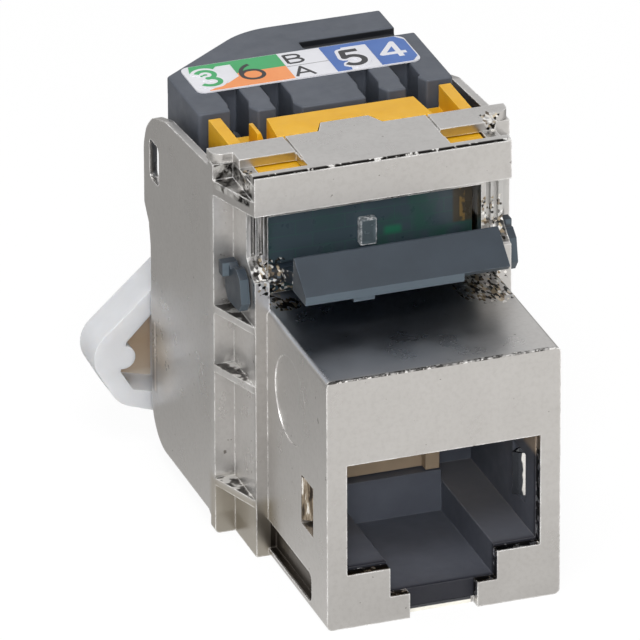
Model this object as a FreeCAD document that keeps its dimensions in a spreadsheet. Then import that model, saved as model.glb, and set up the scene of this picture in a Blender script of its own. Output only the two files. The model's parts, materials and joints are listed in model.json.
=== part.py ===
import FreeCAD, Part
import os
import Sketcher

# Shielded network jack with a snap-in nose, a springy panel latch, a wire holder and a quarter-turn lever.
# Millimetres. X is to the right seen from the front, Y runs from the front face to the cable, Z is up.
# The origin is the bottom middle of the front face.

SIZES = {
    # Stepped mouth of the port
    "port_half_width": 6.0,
    "port_floor_z": 3.45,
    "port_height": 7.15,
    "clip_half_width": 3.33,
    "clip_drop": 1.85,
    "notch_half_width": 2.1,
    # Nose that comes through the panel
    "mouth_rim": 1.25,
    "nose_brow": 5.55,
    "nose_floor": 0.4,
    "nose_round": 0.35,
    "cast_wall": 0.9,
    "front_wall": 0.7,
    "panel_seat_y": 10.4,
    # Openings in the nose sides
    "side_slot_y": 2.75,
    "side_slot_low": 0.5,
    "side_slot_height": 1.9,
    "side_slot_depth": 0.5,
    "side_slot_round": 0.5,
    "spring_window_y": 2.4,
    "spring_window_length": 2.1,
    "spring_window_lift": 1.55,
    "spring_window_height": 3.2,
    "disc_radius": 2.7,
    "disc_y": 6.4,
    "disc_drop": 4.05,
    "disc_depth": 0.07,
    # Middle of the casting, with the bay of the latch and the window over it
    "shoulder_step": 0.75,
    "tower_height": 8.05,
    "flange_wall": 0.8,
    "bay_depth": 1.5,
    "frame_wall": 0.6,
    "frame_border": 0.45,
    "jamb_groove": 0.3,
    "jamb_groove_depth": 0.35,
    "brow_height": 1.95,
    "brow_wall": 0.6,
    "brow_lip": 0.16,
    "lintel": 0.85,
    "corner_step": 1.85,
    "corner_slope": 1.0,
    # Gusset ribs at the casting's corners
    "rib_wall": 0.47,
    "low_rib_z": 3.7,
    "middle_rib_drop": 4.95,
    "high_rib_drop": 1.08,
    "brow_rib_wall": 0.95,
    # Side cheeks
    "cheek_reach": 1.27,
    "cheek_wall": 0.5,
    "cheek_low_z": 1.1,
    "cheek_toe_z": 0.35,
    "cheek_toe_length": 1.2,
    "cheek_length": 11.6,
    "cheek_fall": 0.4,
    "cheek_heel_round": 2.6,
    "ear_reach": 1.1,
    "cheek_crest_length": 3.0,
    "ear_drop": 0.95,
    "ear_round": 2.4,
    "catch_inset": 1.7,
    "catch_length": 1.75,
    "catch_drop": 5.9,
    "catch_height": 2.55,
    "catch_round": 0.4,
    # Top cap
    "cap_wall": 0.6,
    "cap_window_width": 3.55,
    "cap_lip": 0.7,
    "cap_window_length": 2.0,
    "cap_overhang": 0.3,
    "cap_tab_reach": 1.1,
    "cap_tab_x": -0.3,
    "cap_tab_half_width": 1.5,
    "cap_tab_splay": 0.5,
    "seam": 0.12,
    "cap_corner_round": 0.7,
    # Plastic liner of the port and the carrier of its contacts
    "liner_wall": 0.4,
    "cavity_inset": 0.8,
    "well_depth": 2.1,
    "liner_rear_wall": 0.6,
    "liner_rise": 0.5,
    "shelf_step": 0.15,
    "sight_step": 0.7,
    "carrier_inset": 0.95,
    "carrier_front_y": 1.4,
    "carrier_gap": 0.75,
    # Port contacts
    "contact_pitch": 1.02,
    "contact_width": 0.35,
    "contact_wall": 0.35,
    "contact_drop": 3.1,
    "contact_bend_y": 1.5,
    "contact_tip_gap": 1.0,
    "contact_fall": 4.55,
    # Grounding springs in the nose sides
    "spring_wall": 0.22,
    "spring_reach": 0.2,
    "small_gap": 0.02,
    # Circuit board and lamp
    "board_wall": 0.9,
    "board_gap": 0.25,
    "board_side_gap": 0.2,
    "board_floor_gap": 0.4,
    "board_drop": 2.1,
    "lamp_x": 0.2,
    "lamp_width": 1.05,
    "lamp_depth": 0.6,
    "lamp_lift": 1.62,
    "lamp_height": 1.7,
    # Block of insulation-cutting contacts
    "block_side_gap": 1.17,
    "block_depth": 3.0,
    "block_drop": 0.9,
    "bar_half_width": 4.6,
    "bar_splay": 0.25,
    "horn_wall": 0.75,
    "horn_reach": 1.8,
    "horn_rise": 0.2,
    "horn_height": 2.4,
    "hook_wall": 0.4,
    "hook_length": 1.5,
    "ledge_drop": 1.2,
    "ledge_height": 1.4,
    "toe_width": 2.7,
    "toe_gap": 0.3,
    # Insulation-cutting contacts
    "fork_half_width": 0.4,
    "fork_gap": 0.26,
    "fork_wall": 0.5,
    "fork_length": 7.4,
    "fork_root": 4.2,
    # Wire holder
    "holder_low_z": 0.1,
    "holder_drop": 0.3,
    "holder_gap": 5.4,
    "holder_depth": 5.8,
    "middle_pillar_reach": 0.6,
    "centre_pillar_reach": 1.0,
    "comb_depth": 3.1,
    "chamber_wall": 1.4,
    "holder_back_wall": 1.2,
    "inner_slot_x": 2.75,
    "slot_pitch": 2.65,
    "slot_half_width": 0.58,
    "slot_throat": 0.7,
    "slot_kink": 0.25,
    "slot_depth": 3.2,
    "slot_flare": 0.33,
    "slot_flare_length": 0.8,
    "rail_reach": 0.77,
    "rail_half_height": 1.0,
    "slide_gap": 0.1,
    # Hood over the cable
    "hood_wall": 1.1,
    "hood_length": 4.7,
    "hood_inset": 0.9,
    "hood_left_x": 1.7,
    "hood_round": 5.0,
    "hood_step": 1.0,
    "groove_width": 1.0,
    "groove_depth": 0.5,
    "groove_left_x": 1.0,
    # Neck for the cable and the clamp in it
    "bore_radius": 4.4,
    "neck_wall": 2.1,
    "neck_length": 4.0,
    "collar_reach": 0.4,
    "collar_length": 0.6,
    "clamp_wall": 0.28,
    "clamp_inset": 0.2,
    "clamp_gap_width": 1.6,
    # Printed label
    "label_margin": 0.05,
    "label_reach": 3.08,
    "label_step": 0.38,
    "label_wall": 0.08,
    "label_ink_wall": 0.04,
    "label_round": 0.55,
    "label_edge": 0.1,
    "label_second_x": -4.0,
    "label_third_x": -0.95,
    "label_fourth_x": 1.75,
    "label_fifth_x": 4.55,
    # Panel latch
    "latch_inset": 0.9,
    "panel_gap": 2.1,
    "latch_ramp": 2.2,
    "latch_lift": 2.05,
    "latch_height": 2.15,
    "latch_lip_height": 0.55,
    "latch_lip_right_x": 3.5,
    "latch_lip_reach": 0.35,
    "latch_pad_x": -2.7,
    "latch_pad_width": 1.3,
    "latch_pad_height": 0.25,
    "arm_inset": 0.75,
    "arm_wall": 0.75,
    "pivot_lift": 0.85,
    "pivot_clear": 0.15,
    "pivot_radius": 0.6,
    "pivot_gap": 0.05,
    "ear_gap": 0.1,
    "ear_wall": 0.55,
    # Quarter-turn lever
    "ring_gap": 0.05,
    "ring_wall": 1.15,
    "ring_front_gap": 0.2,
    "wing_root_x": 6.2,
    "wing_root_drop": 0.4,
    "wing_reach": 13.2,
    "wing_tip_drop": 5.15,
    "wing_chin_inset": 2.0,
    "wing_chin_drop": 3.55,
    "wing_heel_inset": 2.6,
    "wing_heel_drop": 0.9,
    "wing_toe_inset": 0.6,
    "wing_toe_drop": 1.4,
    "wing_tip_round": 1.9,
    "wing_inset": 1.0,
    "scoop_depth": 2.6,
    "scoop_rim": 1.35,
    "scoop_bump_radius": 0.75,
}

# Lengths that follow from the ones above
FOLLOWING = {
    # Across
    "nose_half_width": "port_half_width + mouth_rim",
    "nose_inner_x": "nose_half_width - cast_wall",
    "body_half_width": "nose_half_width + shoulder_step",
    "body_inner_x": "body_half_width - cast_wall",
    "window_half_width": "body_inner_x - frame_border",
    "cheek_half_width": "body_half_width + cheek_reach",
    "cheek_inner_x": "cheek_half_width - cheek_wall",
    "cap_strap_half_width": "body_half_width - cap_window_width",
    "cap_tab_right_x": "cap_tab_x + cap_tab_half_width",
    "cap_tab_left_x": "cap_tab_x - cap_tab_half_width",
    "carrier_half_width": "nose_inner_x - carrier_inset",
    "board_half_width": "body_inner_x - board_side_gap",
    "block_half_width": "cheek_inner_x - block_side_gap",
    "holder_half_width": "cheek_inner_x - rail_reach",
    "chamber_half_width": "holder_half_width - chamber_wall",
    "outer_slot_x": "inner_slot_x + slot_pitch",
    "hood_right_x": "holder_half_width - hood_inset",
    "label_half_width": "hood_right_x - label_margin",
    "latch_half_width": "nose_half_width - latch_inset",
    "arm_half_width": "latch_half_width - arm_inset",
    "wing_chin_x": "wing_reach - wing_chin_inset",
    "wing_heel_x": "wing_chin_x - wing_heel_inset",
    "wing_toe_x": "wing_heel_x - wing_toe_inset",
    "neck_radius": "bore_radius + neck_wall",
    "collar_radius": "neck_radius + collar_reach",
    # From front to back
    "cavity_rear_y": "panel_seat_y - cavity_inset",
    "well_rear_y": "cavity_rear_y + well_depth",
    "liner_rear_y": "well_rear_y + liner_rear_wall",
    "contact_tip_y": "cavity_rear_y - contact_tip_gap",
    "latch_rear_y": "panel_seat_y - panel_gap",
    "latch_front_y": "latch_rear_y - latch_ramp",
    "frame_y": "panel_seat_y + bay_depth",
    "frame_rear_y": "frame_y + frame_wall",
    "pivot_y": "frame_rear_y + pivot_clear + pivot_radius",
    "board_front_y": "pivot_y + pivot_radius + board_gap",
    "board_rear_y": "board_front_y + board_wall",
    "casting_rear_y": "board_rear_y",
    "flange_y": "casting_rear_y - flange_wall",
    "cheek_toe_y": "flange_y + cheek_toe_length",
    "cheek_rear_y": "flange_y + cheek_length",
    "ear_rear_y": "cheek_rear_y + ear_reach",
    "catch_y": "cheek_rear_y - catch_inset",
    "cap_front_y": "panel_seat_y + brow_lip + small_gap",
    "cap_window_y": "panel_seat_y + cap_lip",
    "cap_window_rear_y": "cap_window_y + cap_window_length",
    "cap_rear_y": "casting_rear_y + cap_overhang",
    "cap_tab_rear_y": "cap_rear_y + cap_tab_reach",
    "toe_front_y": "panel_seat_y + brow_wall + toe_gap",
    "block_rear_y": "casting_rear_y + block_depth",
    "horn_rear_y": "block_rear_y + horn_reach",
    "fork_root_y": "casting_rear_y + fork_root",
    "fork_rear_y": "casting_rear_y + fork_length",
    "holder_front_y": "casting_rear_y + holder_gap",
    "holder_middle_y": "holder_front_y - middle_pillar_reach",
    "holder_centre_y": "holder_front_y - centre_pillar_reach",
    "holder_rear_y": "holder_front_y + holder_depth",
    "slot_kink_y": "holder_front_y + slot_throat",
    "slot_rear_y": "holder_front_y + slot_depth",
    "chamber_rear_y": "holder_rear_y - holder_back_wall",
    "neck_rear_y": "holder_rear_y + neck_length",
    "clamp_front_y": "holder_rear_y + clamp_inset",
    "hood_rear_y": "holder_rear_y + hood_length",
    "label_deck_y": "holder_rear_y + hood_step",
    "label_front_y": "holder_rear_y - label_reach",
    "label_rear_y": "label_deck_y - label_step",
    # Up
    "clip_floor_z": "port_floor_z - clip_drop",
    "port_roof_z": "port_floor_z + port_height",
    "nose_height": "port_roof_z + nose_brow",
    "deck_low_z": "nose_height - cast_wall",
    "side_slot_high": "side_slot_low + side_slot_height",
    "spring_window_low": "port_floor_z + spring_window_lift",
    "spring_window_high": "spring_window_low + spring_window_height",
    "disc_z": "nose_height - disc_drop",
    "liner_shelf_z": "port_floor_z + shelf_step",
    "liner_top_z": "port_roof_z + liner_rise",
    "carrier_sight_z": "liner_shelf_z + sight_step",
    "carrier_top_z": "deck_low_z - carrier_gap",
    "contact_run_z": "deck_low_z - contact_drop",
    "contact_tip_z": "contact_run_z - contact_fall",
    "middle_rib_z": "nose_height - middle_rib_drop",
    "high_rib_z": "nose_height - high_rib_drop",
    "ear_low_z": "nose_height - ear_drop",
    "pivot_z": "nose_height + pivot_lift",
    "corner_low_z": "nose_height + corner_step",
    "corner_high_z": "corner_low_z + corner_slope",
    "latch_low_z": "nose_height + latch_lift",
    "latch_lip_z": "latch_low_z + latch_lip_height",
    "latch_high_z": "latch_low_z + latch_height",
    "body_top_z": "nose_height + tower_height",
    "brow_low_z": "body_top_z - brow_height",
    "window_top_z": "brow_low_z - lintel",
    "lamp_low_z": "nose_height + lamp_lift",
    "lamp_high_z": "lamp_low_z + lamp_height",
    "cheek_high_z": "body_top_z - cheek_fall",
    "catch_low_z": "body_top_z - catch_drop",
    "catch_high_z": "catch_low_z + catch_height",
    "board_low_z": "cast_wall + board_floor_gap",
    "board_high_z": "body_top_z - board_drop",
    "cap_top_z": "body_top_z + cap_wall",
    "horn_high_z": "body_top_z + horn_rise",
    "block_high_z": "body_top_z - block_drop",
    "holder_high_z": "cap_top_z - holder_drop",
    "axis_z": "(holder_high_z + holder_low_z) / 2",
    "block_low_z": "2 * axis_z - block_high_z",
    "comb_high_z": "holder_high_z - comb_depth",
    "comb_low_z": "holder_low_z + comb_depth",
    "fork_z": "comb_high_z + fork_wall",
    "rail_low_z": "axis_z - rail_half_height",
    "rail_high_z": "axis_z + rail_half_height",
    "wing_root_z": "axis_z - wing_root_drop",
    "wing_tip_z": "wing_root_z - wing_tip_drop",
    "wing_chin_z": "wing_tip_z - wing_chin_drop",
    "wing_heel_z": "wing_chin_z - wing_heel_drop",
    "wing_toe_z": "wing_heel_z - wing_toe_drop",
}


class Size:
    """A length that carries its value and the sheet formula it comes from."""

    def __init__(self, value, text):
        self.value = value
        self.text = text

    def __add__(self, other):
        other = as_size(other)
        return Size(self.value + other.value, f"({self.text} + {other.text})")

    def __radd__(self, other):
        return as_size(other) + self

    def __sub__(self, other):
        other = as_size(other)
        return Size(self.value - other.value, f"({self.text} - {other.text})")

    def __rsub__(self, other):
        return as_size(other) - self

    def __mul__(self, factor):
        return Size(self.value * factor, f"({self.text} * {factor})")

    def __rmul__(self, factor):
        return self * factor

    def __neg__(self):
        return Size(-self.value, f"(-1 * {self.text})")


def as_size(number):
    if isinstance(number, Size):
        return number
    return Size(float(number), repr(float(number)))


OVERRUN = 1.0  # how far a cutting outline runs past the faces it cuts

doc = FreeCAD.newDocument("network_jack")
sheet = doc.addObject("Spreadsheet::Sheet", "Sizes")
entries = [(name, str(value)) for name, value in SIZES.items()]
entries += [(name, "=" + rule) for name, rule in FOLLOWING.items()]
for row, (alias, _) in enumerate(entries, start=1):
    sheet.set(f"A{row}", alias)
    sheet.setAlias(f"B{row}", alias)
for row, (_, content) in enumerate(entries, start=1):
    sheet.set(f"B{row}", content)
doc.recompute()


class Named:
    """Every row of the sheet, reached by its name."""

    def __init__(self, names):
        for name in names:
            setattr(self, name, Size(float(sheet.get(name)), "Sizes." + name))


S = Named([*SIZES, *FOLLOWING])

nodes = []
growing = []
cutting = []


def bind(thing, prop, length):
    length = as_size(length)
    thing.setExpression(prop, length.text)


def new_body(name):
    body = doc.addObject("PartDesign::Body", name)
    body.Label = name
    nodes.append(body)
    return body


def origin_plane(body, role):
    for feature in body.Origin.OriginFeatures:
        if feature.Role == role + "_Plane":
            return feature
    raise RuntimeError("no origin plane " + role)


def place_point(sketch, geometry, point, u, v):
    """Hold one point of the sketch at a distance from its origin, or on an axis."""
    for kind, axis, length in (("DistanceX", -2, as_size(u)), ("DistanceY", -1, as_size(v))):
        if length.text == "0.0":
            sketch.addConstraint(Sketcher.Constraint("PointOnObject", geometry, point, axis))
            continue
        rule = Sketcher.Constraint(kind, -1, 1, geometry, point, length.value)
        index = sketch.addConstraint(rule)
        sketch.setExpression(f"Constraints[{index}]", length.text)


def draw_loop(sketch, points):
    """Draw a closed outline of straight lines through points given as pairs of lengths."""
    spots = [FreeCAD.Vector(as_size(u).value, as_size(v).value, 0) for u, v in points]
    first = sketch.GeometryCount
    count = len(spots)
    lines = [Part.LineSegment(spots[i], spots[(i + 1) % count]) for i in range(count)]
    sketch.addGeometry(lines, False)
    joints = [
        Sketcher.Constraint("Coincident", first + i, 2, first + (i + 1) % count, 1) for i in range(count)
    ]
    sketch.addConstraint(joints)
    for i, (u, v) in enumerate(points):
        place_point(sketch, first + i, 1, u, v)


def draw_circle(sketch, centre, radius):
    u, v = centre
    spot = FreeCAD.Vector(as_size(u).value, as_size(v).value, 0)
    circle = Part.Circle(spot, FreeCAD.Vector(0, 0, 1), as_size(radius).value)
    geometry = sketch.addGeometry(circle, False)
    place_point(sketch, geometry, 3, u, v)
    index = sketch.addConstraint(Sketcher.Constraint("Radius", geometry, as_size(radius).value))
    sketch.setExpression(f"Constraints[{index}]", as_size(radius).text)


def new_sketch(body, name, plane, level, loops, circles):
    sketch = body.newObject("Sketcher::SketchObject", name + "_sketch")
    sketch.AttachmentSupport = (origin_plane(body, plane), [""])
    sketch.MapMode = "FlatFace"
    bind(sketch, "AttachmentOffset.Base.z", level)
    for loop in loops:
        draw_loop(sketch, loop)
    for centre, radius in circles:
        draw_circle(sketch, centre, radius)
    return sketch


def pad(body, name, plane, span, loops=(), circles=()):
    """Carry outlines along the third axis of their plane, over the span from low to high."""
    low, high = (as_size(limit) for limit in span)
    level = -high if plane == "XZ" else low
    sketch = new_sketch(body, name, plane, level, loops, circles)
    feature = body.newObject("PartDesign::Pad", name)
    feature.Profile = sketch
    bind(feature, "Length", high - low)
    growing.append(feature)
    return feature


def pocket(body, name, plane, span, loops=(), circles=()):
    """Cut outlines along the third axis of their plane, over the span from low to high."""
    low, high = (as_size(limit) for limit in span)
    level = -low if plane == "XZ" else high
    sketch = new_sketch(body, name, plane, level, loops, circles)
    feature = body.newObject("PartDesign::Pocket", name)
    feature.Profile = sketch
    bind(feature, "Length", high - low)
    cutting.append(feature)
    return feature


def block(body, name, x, y, z, cut=False):
    """Add or cut a rectangular block between pairs of limits."""
    kind = "PartDesign::SubtractiveBox" if cut else "PartDesign::AdditiveBox"
    feature = body.newObject(kind, name)
    for side, axis, (low, high) in zip(("Length", "Width", "Height"), "xyz", (x, y, z)):
        bind(feature, side, as_size(high) - low)
        bind(feature, "Placement.Base." + axis, low)
    (cutting if cut else growing).append(feature)
    return feature


def rod(body, name, plane, centre, radius, span, cut=False):
    """Add or cut a round bar square to the plane."""
    work = pocket if cut else pad
    return work(body, name, plane, span, circles=[(centre, radius)])


def edges_along(shape, axis, test):
    """Names of the straight edges along one axis whose middle point passes the test."""
    names = []
    for index, edge in enumerate(shape.Edges, start=1):
        if edge.Curve.TypeId != "Part::GeomLine":
            continue
        first, last = edge.Vertexes[0].Point, edge.Vertexes[-1].Point
        along = (last - first).normalize()
        middle = (first + last) * 0.5
        if abs(getattr(along, axis)) > 0.999 and test(middle):
            names.append(f"Edge{index}")
    return names


def near(value, length, tolerance=0.02):
    return abs(value - as_size(length).value) < tolerance


def soften(body, name, radius, axis, test):
    """Round the picked edges of what the body is so far."""
    doc.recompute()
    base = body.Tip
    names = edges_along(base.Shape, axis, test)
    if not names:
        raise RuntimeError("no edge to round for " + name)
    feature = body.newObject("PartDesign::Fillet", name)
    feature.Base = (base, names)
    bind(feature, "Radius", radius)
    return feature


def mirror_loop(points):
    """The same outline on the other side of the middle plane."""
    return [(-as_size(u), v) for u, v in reversed(points)]


def both_sides(points):
    return [points, mirror_loop(points)]


slot_centres = (-S.outer_slot_x, -S.inner_slot_x, S.inner_slot_x, S.outer_slot_x)


def build_front_housing():
    """The cast shell: nose, shoulders, window frame, corner ribs and side cheeks in one piece."""
    body = new_body("front_housing")
    side = S.nose_half_width
    block(body, "nose_block", (-side, side), (0, S.frame_y), (0, S.nose_height))
    soften(body, "nose_rounds", S.nose_round, "y", lambda p: True)

    waist = [
        (S.body_half_width, S.panel_seat_y),
        (S.body_half_width, S.flange_y),
        (S.cheek_half_width, S.flange_y),
        (S.cheek_half_width, S.casting_rear_y),
    ]
    around = waist + [(-u, v) for u, v in reversed(waist)]
    pad(body, "shoulder_block", "XY", (0, S.body_top_z), [around])

    soften(
        body,
        "flange_foot_rounds",
        S.cheek_toe_z - 0.02,
        "y",
        lambda p: near(p.z, 0) and near(abs(p.x), S.cheek_half_width),
    )

    wide = S.body_half_width + OVERRUN
    above_deck = [
        (S.panel_seat_y - OVERRUN, S.corner_low_z),
        (S.panel_seat_y + 0.2, S.corner_low_z),
        (S.frame_y, S.corner_high_z),
        (S.frame_y, S.brow_low_z),
        (S.panel_seat_y - OVERRUN, S.brow_low_z),
    ]
    pocket(body, "latch_bay_sides", "YZ", (-wide, wide), [above_deck])
    block(
        body,
        "latch_bay",
        (-S.body_inner_x, S.body_inner_x),
        (S.panel_seat_y - OVERRUN, S.frame_y),
        (S.nose_height, S.brow_low_z),
        cut=True,
    )
    block(
        body,
        "nose_hollow",
        (-S.nose_inner_x, S.nose_inner_x),
        (S.front_wall, S.casting_rear_y + OVERRUN),
        (S.nose_floor, S.deck_low_z),
        cut=True,
    )
    block(
        body,
        "shoulder_hollow",
        (-S.body_inner_x, S.body_inner_x),
        (S.frame_rear_y, S.casting_rear_y + OVERRUN),
        (S.cast_wall, S.body_top_z + OVERRUN),
        cut=True,
    )
    block(
        body,
        "brow_hollow",
        (-S.body_inner_x, S.body_inner_x),
        (S.panel_seat_y + S.brow_wall, S.frame_rear_y + OVERRUN),
        (S.brow_low_z + S.brow_wall, S.body_top_z + OVERRUN),
        cut=True,
    )
    block(
        body,
        "window",
        (-S.window_half_width, S.window_half_width),
        (S.frame_y - OVERRUN, S.frame_rear_y + OVERRUN),
        (S.nose_height, S.window_top_z),
        cut=True,
    )

    groove_high = S.window_top_z + S.lintel * 0.5
    for which, offset in (("inner", S.jamb_groove), ("outer", S.jamb_groove * 2.6)):
        near_x = S.window_half_width + offset
        far_x = near_x + S.jamb_groove
        for hand, across in (("right", (near_x, far_x)), ("left", (-far_x, -near_x))):
            block(
                body,
                f"{hand}_{which}_jamb_groove",
                across,
                (S.frame_y - 0.1, S.frame_y + S.jamb_groove_depth),
                (S.corner_high_z, groove_high),
                cut=True,
            )

    mouth = [
        (S.port_half_width, S.port_roof_z),
        (S.port_half_width, S.port_floor_z),
        (S.clip_half_width, S.port_floor_z),
        (S.clip_half_width, S.clip_floor_z),
        (S.notch_half_width, S.clip_floor_z),
        (S.notch_half_width, as_size(-OVERRUN)),
    ]
    stepped = mouth + [(-u, v) for u, v in reversed(mouth)]
    pocket(body, "port_mouth", "XZ", (-OVERRUN, S.front_wall), [stepped])

    gusset = [
        (S.body_inner_x + 0.3, S.panel_seat_y),
        (S.body_half_width, S.panel_seat_y),
        (S.cheek_half_width, S.flange_y),
        (S.cheek_half_width, S.flange_y + 0.3),
        (S.body_inner_x + 0.3, S.flange_y + 0.3),
    ]
    ribs = (("low", S.low_rib_z), ("middle", S.middle_rib_z), ("high", S.high_rib_z))
    for which, top in ribs:
        pad(body, which + "_ribs", "XY", (top - S.rib_wall, top), both_sides(gusset))
    brow_rib_top = S.brow_low_z + S.brow_rib_wall
    pad(body, "brow_ribs", "XY", (S.brow_low_z, brow_rib_top), both_sides(gusset))
    block(
        body,
        "brow_lip",
        (-S.body_half_width, S.body_half_width),
        (S.panel_seat_y, S.panel_seat_y + S.brow_lip),
        (S.body_top_z - 0.3, S.cap_top_z - 0.08),
    )

    cheek = [
        (S.flange_y, S.cheek_toe_z),
        (S.cheek_toe_y, S.cheek_low_z),
        (S.cheek_rear_y, S.cheek_low_z),
        (S.cheek_rear_y, S.ear_low_z - 1.4),
        (S.cheek_rear_y + 0.3, S.ear_low_z),
        (S.ear_rear_y, S.ear_low_z + 1.0),
        (S.ear_rear_y, S.cheek_high_z - 3.8),
        (S.ear_rear_y - 0.5, S.cheek_high_z - 2.45),
        (S.ear_rear_y - 1.7, S.cheek_high_z - 1.35),
        (S.cheek_rear_y - S.cheek_crest_length, S.cheek_high_z - 0.6),
        (S.cheek_toe_y, S.cheek_high_z),
        (S.flange_y, S.body_top_z),
    ]
    catch = [
        (S.catch_y, S.catch_low_z),
        (S.catch_y + S.catch_length, S.catch_low_z),
        (S.catch_y + S.catch_length, S.catch_high_z),
        (S.catch_y, S.catch_high_z),
    ]
    pad(body, "right_cheek", "YZ", (S.cheek_inner_x, S.cheek_half_width), [cheek, catch])
    pad(body, "left_cheek", "YZ", (-S.cheek_half_width, -S.cheek_inner_x), [cheek, catch])
    soften(
        body,
        "cheek_heel_rounds",
        S.cheek_heel_round,
        "x",
        lambda p: near(p.y, S.cheek_rear_y) and near(p.z, S.cheek_low_z),
    )
    soften(
        body,
        "ear_rounds",
        S.ear_round,
        "x",
        lambda p: (p.z > S.catch_high_z.value + 0.3 and p.y > S.catch_y.value - 2)
        or (near(p.y, S.ear_rear_y) and p.z > S.ear_low_z.value + 2),
    )
    soften(
        body,
        "catch_rounds",
        S.catch_round,
        "x",
        lambda p: near(p.y, S.catch_y) or near(p.y, S.catch_y + S.catch_length),
    )

    wide = S.nose_half_width + OVERRUN
    slot_floor = S.nose_half_width - S.side_slot_depth
    for which, across in (("right", (slot_floor, wide)), ("left", (-wide, -slot_floor))):
        block(
            body,
            which + "_side_slot",
            across,
            (S.side_slot_y, S.panel_seat_y),
            (S.side_slot_low, S.side_slot_high),
            cut=True,
        )
    soften(
        body,
        "side_slot_rounds",
        S.side_slot_round,
        "x",
        lambda p: near(p.y, S.side_slot_y) and p.z < S.side_slot_high.value + 0.02,
    )
    block(
        body,
        "spring_windows",
        (-wide, wide),
        (S.spring_window_y, S.spring_window_y + S.spring_window_length),
        (S.spring_window_low, S.spring_window_high),
        cut=True,
    )
    disc = (S.disc_y, S.disc_z)
    face = S.nose_half_width - S.disc_depth
    rod(body, "right_disc", "YZ", disc, S.disc_radius, (face, wide), cut=True)
    rod(body, "left_disc", "YZ", disc, S.disc_radius, (-wide, -face), cut=True)
    wide = S.body_half_width + OVERRUN
    pivot = (S.pivot_y, S.pivot_z)
    rod(body, "pivot_holes", "YZ", pivot, S.pivot_radius + S.pivot_gap, (-wide, wide), cut=True)
    return body


def build_top_cap():
    """The flat cap over the casting, notched at its front corners and with a tab at the back."""
    body = new_body("top_cap")
    half = [
        (S.body_half_width, S.cap_front_y),
        (S.body_half_width, S.cap_window_y),
        (S.cap_strap_half_width, S.cap_window_y),
        (S.cap_strap_half_width, S.cap_window_rear_y),
        (S.body_half_width, S.cap_window_rear_y),
        (S.body_half_width, S.flange_y),
        (S.cheek_half_width, S.flange_y),
        (S.cheek_half_width, S.cap_rear_y),
    ]
    tab = [
        (S.cap_tab_right_x + S.cap_tab_splay, S.cap_rear_y),
        (S.cap_tab_right_x, S.cap_tab_rear_y),
        (S.cap_tab_left_x, S.cap_tab_rear_y),
        (S.cap_tab_left_x - S.cap_tab_splay, S.cap_rear_y),
    ]
    around = half + tab + [(-u, v) for u, v in reversed(half)]
    pad(body, "cap_plate", "XY", (S.body_top_z, S.cap_top_z), [around])
    soften(
        body,
        "cap_corner_rounds",
        S.cap_corner_round,
        "z",
        lambda p: near(abs(p.x), S.cheek_half_width) and near(p.y, S.flange_y),
    )
    for which, centre in (("right", S.cap_strap_half_width), ("left", -S.cap_strap_half_width)):
        block(
            body,
            which + "_seam",
            (centre - S.seam * 0.5, centre + S.seam * 0.5),
            (S.cap_window_rear_y - OVERRUN, S.cap_rear_y + OVERRUN),
            (S.cap_top_z - S.seam, S.cap_top_z + OVERRUN),
            cut=True,
        )
    return body


def build_port_liner():
    """The dark plastic lining of the port, with a clip channel between two shelves."""
    body = new_body("port_liner")
    inner_x = S.nose_inner_x - S.liner_wall
    front = S.front_wall
    block(
        body,
        "liner_block",
        (-S.nose_inner_x, S.nose_inner_x),
        (front, S.liner_rear_y),
        (S.nose_floor, S.liner_top_z),
    )
    cavity_rear = S.cavity_rear_y
    block(
        body,
        "plug_space",
        (-inner_x, inner_x),
        (front - OVERRUN, cavity_rear),
        (S.liner_shelf_z, S.liner_top_z + OVERRUN),
        cut=True,
    )
    block(
        body,
        "clip_channel",
        (-S.clip_half_width, S.clip_half_width),
        (front - OVERRUN, cavity_rear),
        (S.clip_floor_z, S.liner_shelf_z + OVERRUN),
        cut=True,
    )
    for which, across in (("right", (S.clip_half_width, inner_x)), ("left", (-inner_x, -S.clip_half_width))):
        block(
            body,
            which + "_well",
            across,
            (cavity_rear - OVERRUN, S.well_rear_y),
            (S.liner_shelf_z, S.liner_top_z + OVERRUN),
            cut=True,
        )
    block(
        body,
        "carrier_opening",
        (-S.clip_half_width, S.clip_half_width),
        (cavity_rear - OVERRUN, S.liner_rear_y + OVERRUN),
        (S.carrier_sight_z, S.liner_top_z + OVERRUN),
        cut=True,
    )
    wide = S.nose_inner_x + OVERRUN
    block(
        body,
        "spring_windows",
        (-wide, wide),
        (S.spring_window_y, S.spring_window_y + S.spring_window_length),
        (S.spring_window_low, S.spring_window_high),
        cut=True,
    )
    return body


def build_contact_carrier():
    """The moulding that holds the port contacts over the plug space and against the board."""
    body = new_body("contact_carrier")
    tongue_z = S.contact_run_z + S.contact_wall
    side = S.carrier_half_width
    block(body, "carrier_back", (-side, side), (S.liner_rear_y, S.board_front_y), (S.cast_wall, S.carrier_top_z))
    block(
        body,
        "carrier_tongue",
        (-side, side),
        (S.carrier_front_y, S.liner_rear_y + OVERRUN),
        (tongue_z, S.carrier_top_z),
    )
    post_x = S.clip_half_width - S.slide_gap
    nose_span = (S.carrier_sight_z + S.slide_gap, S.contact_run_z - 0.3)
    block(body, "carrier_nose", (-post_x, post_x), (S.cavity_rear_y + 0.6, S.liner_rear_y + 0.1), nose_span)
    block(body, "carrier_post", (post_x - 0.9, post_x), (S.cavity_rear_y, S.cavity_rear_y + 0.7), nose_span)
    reach = S.contact_pitch * 3.5 + S.contact_width
    block(
        body,
        "contact_slot",
        (-reach, reach),
        (S.liner_rear_y - OVERRUN, S.board_front_y + OVERRUN),
        (S.contact_run_z, tongue_z),
        cut=True,
    )
    return body


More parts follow.
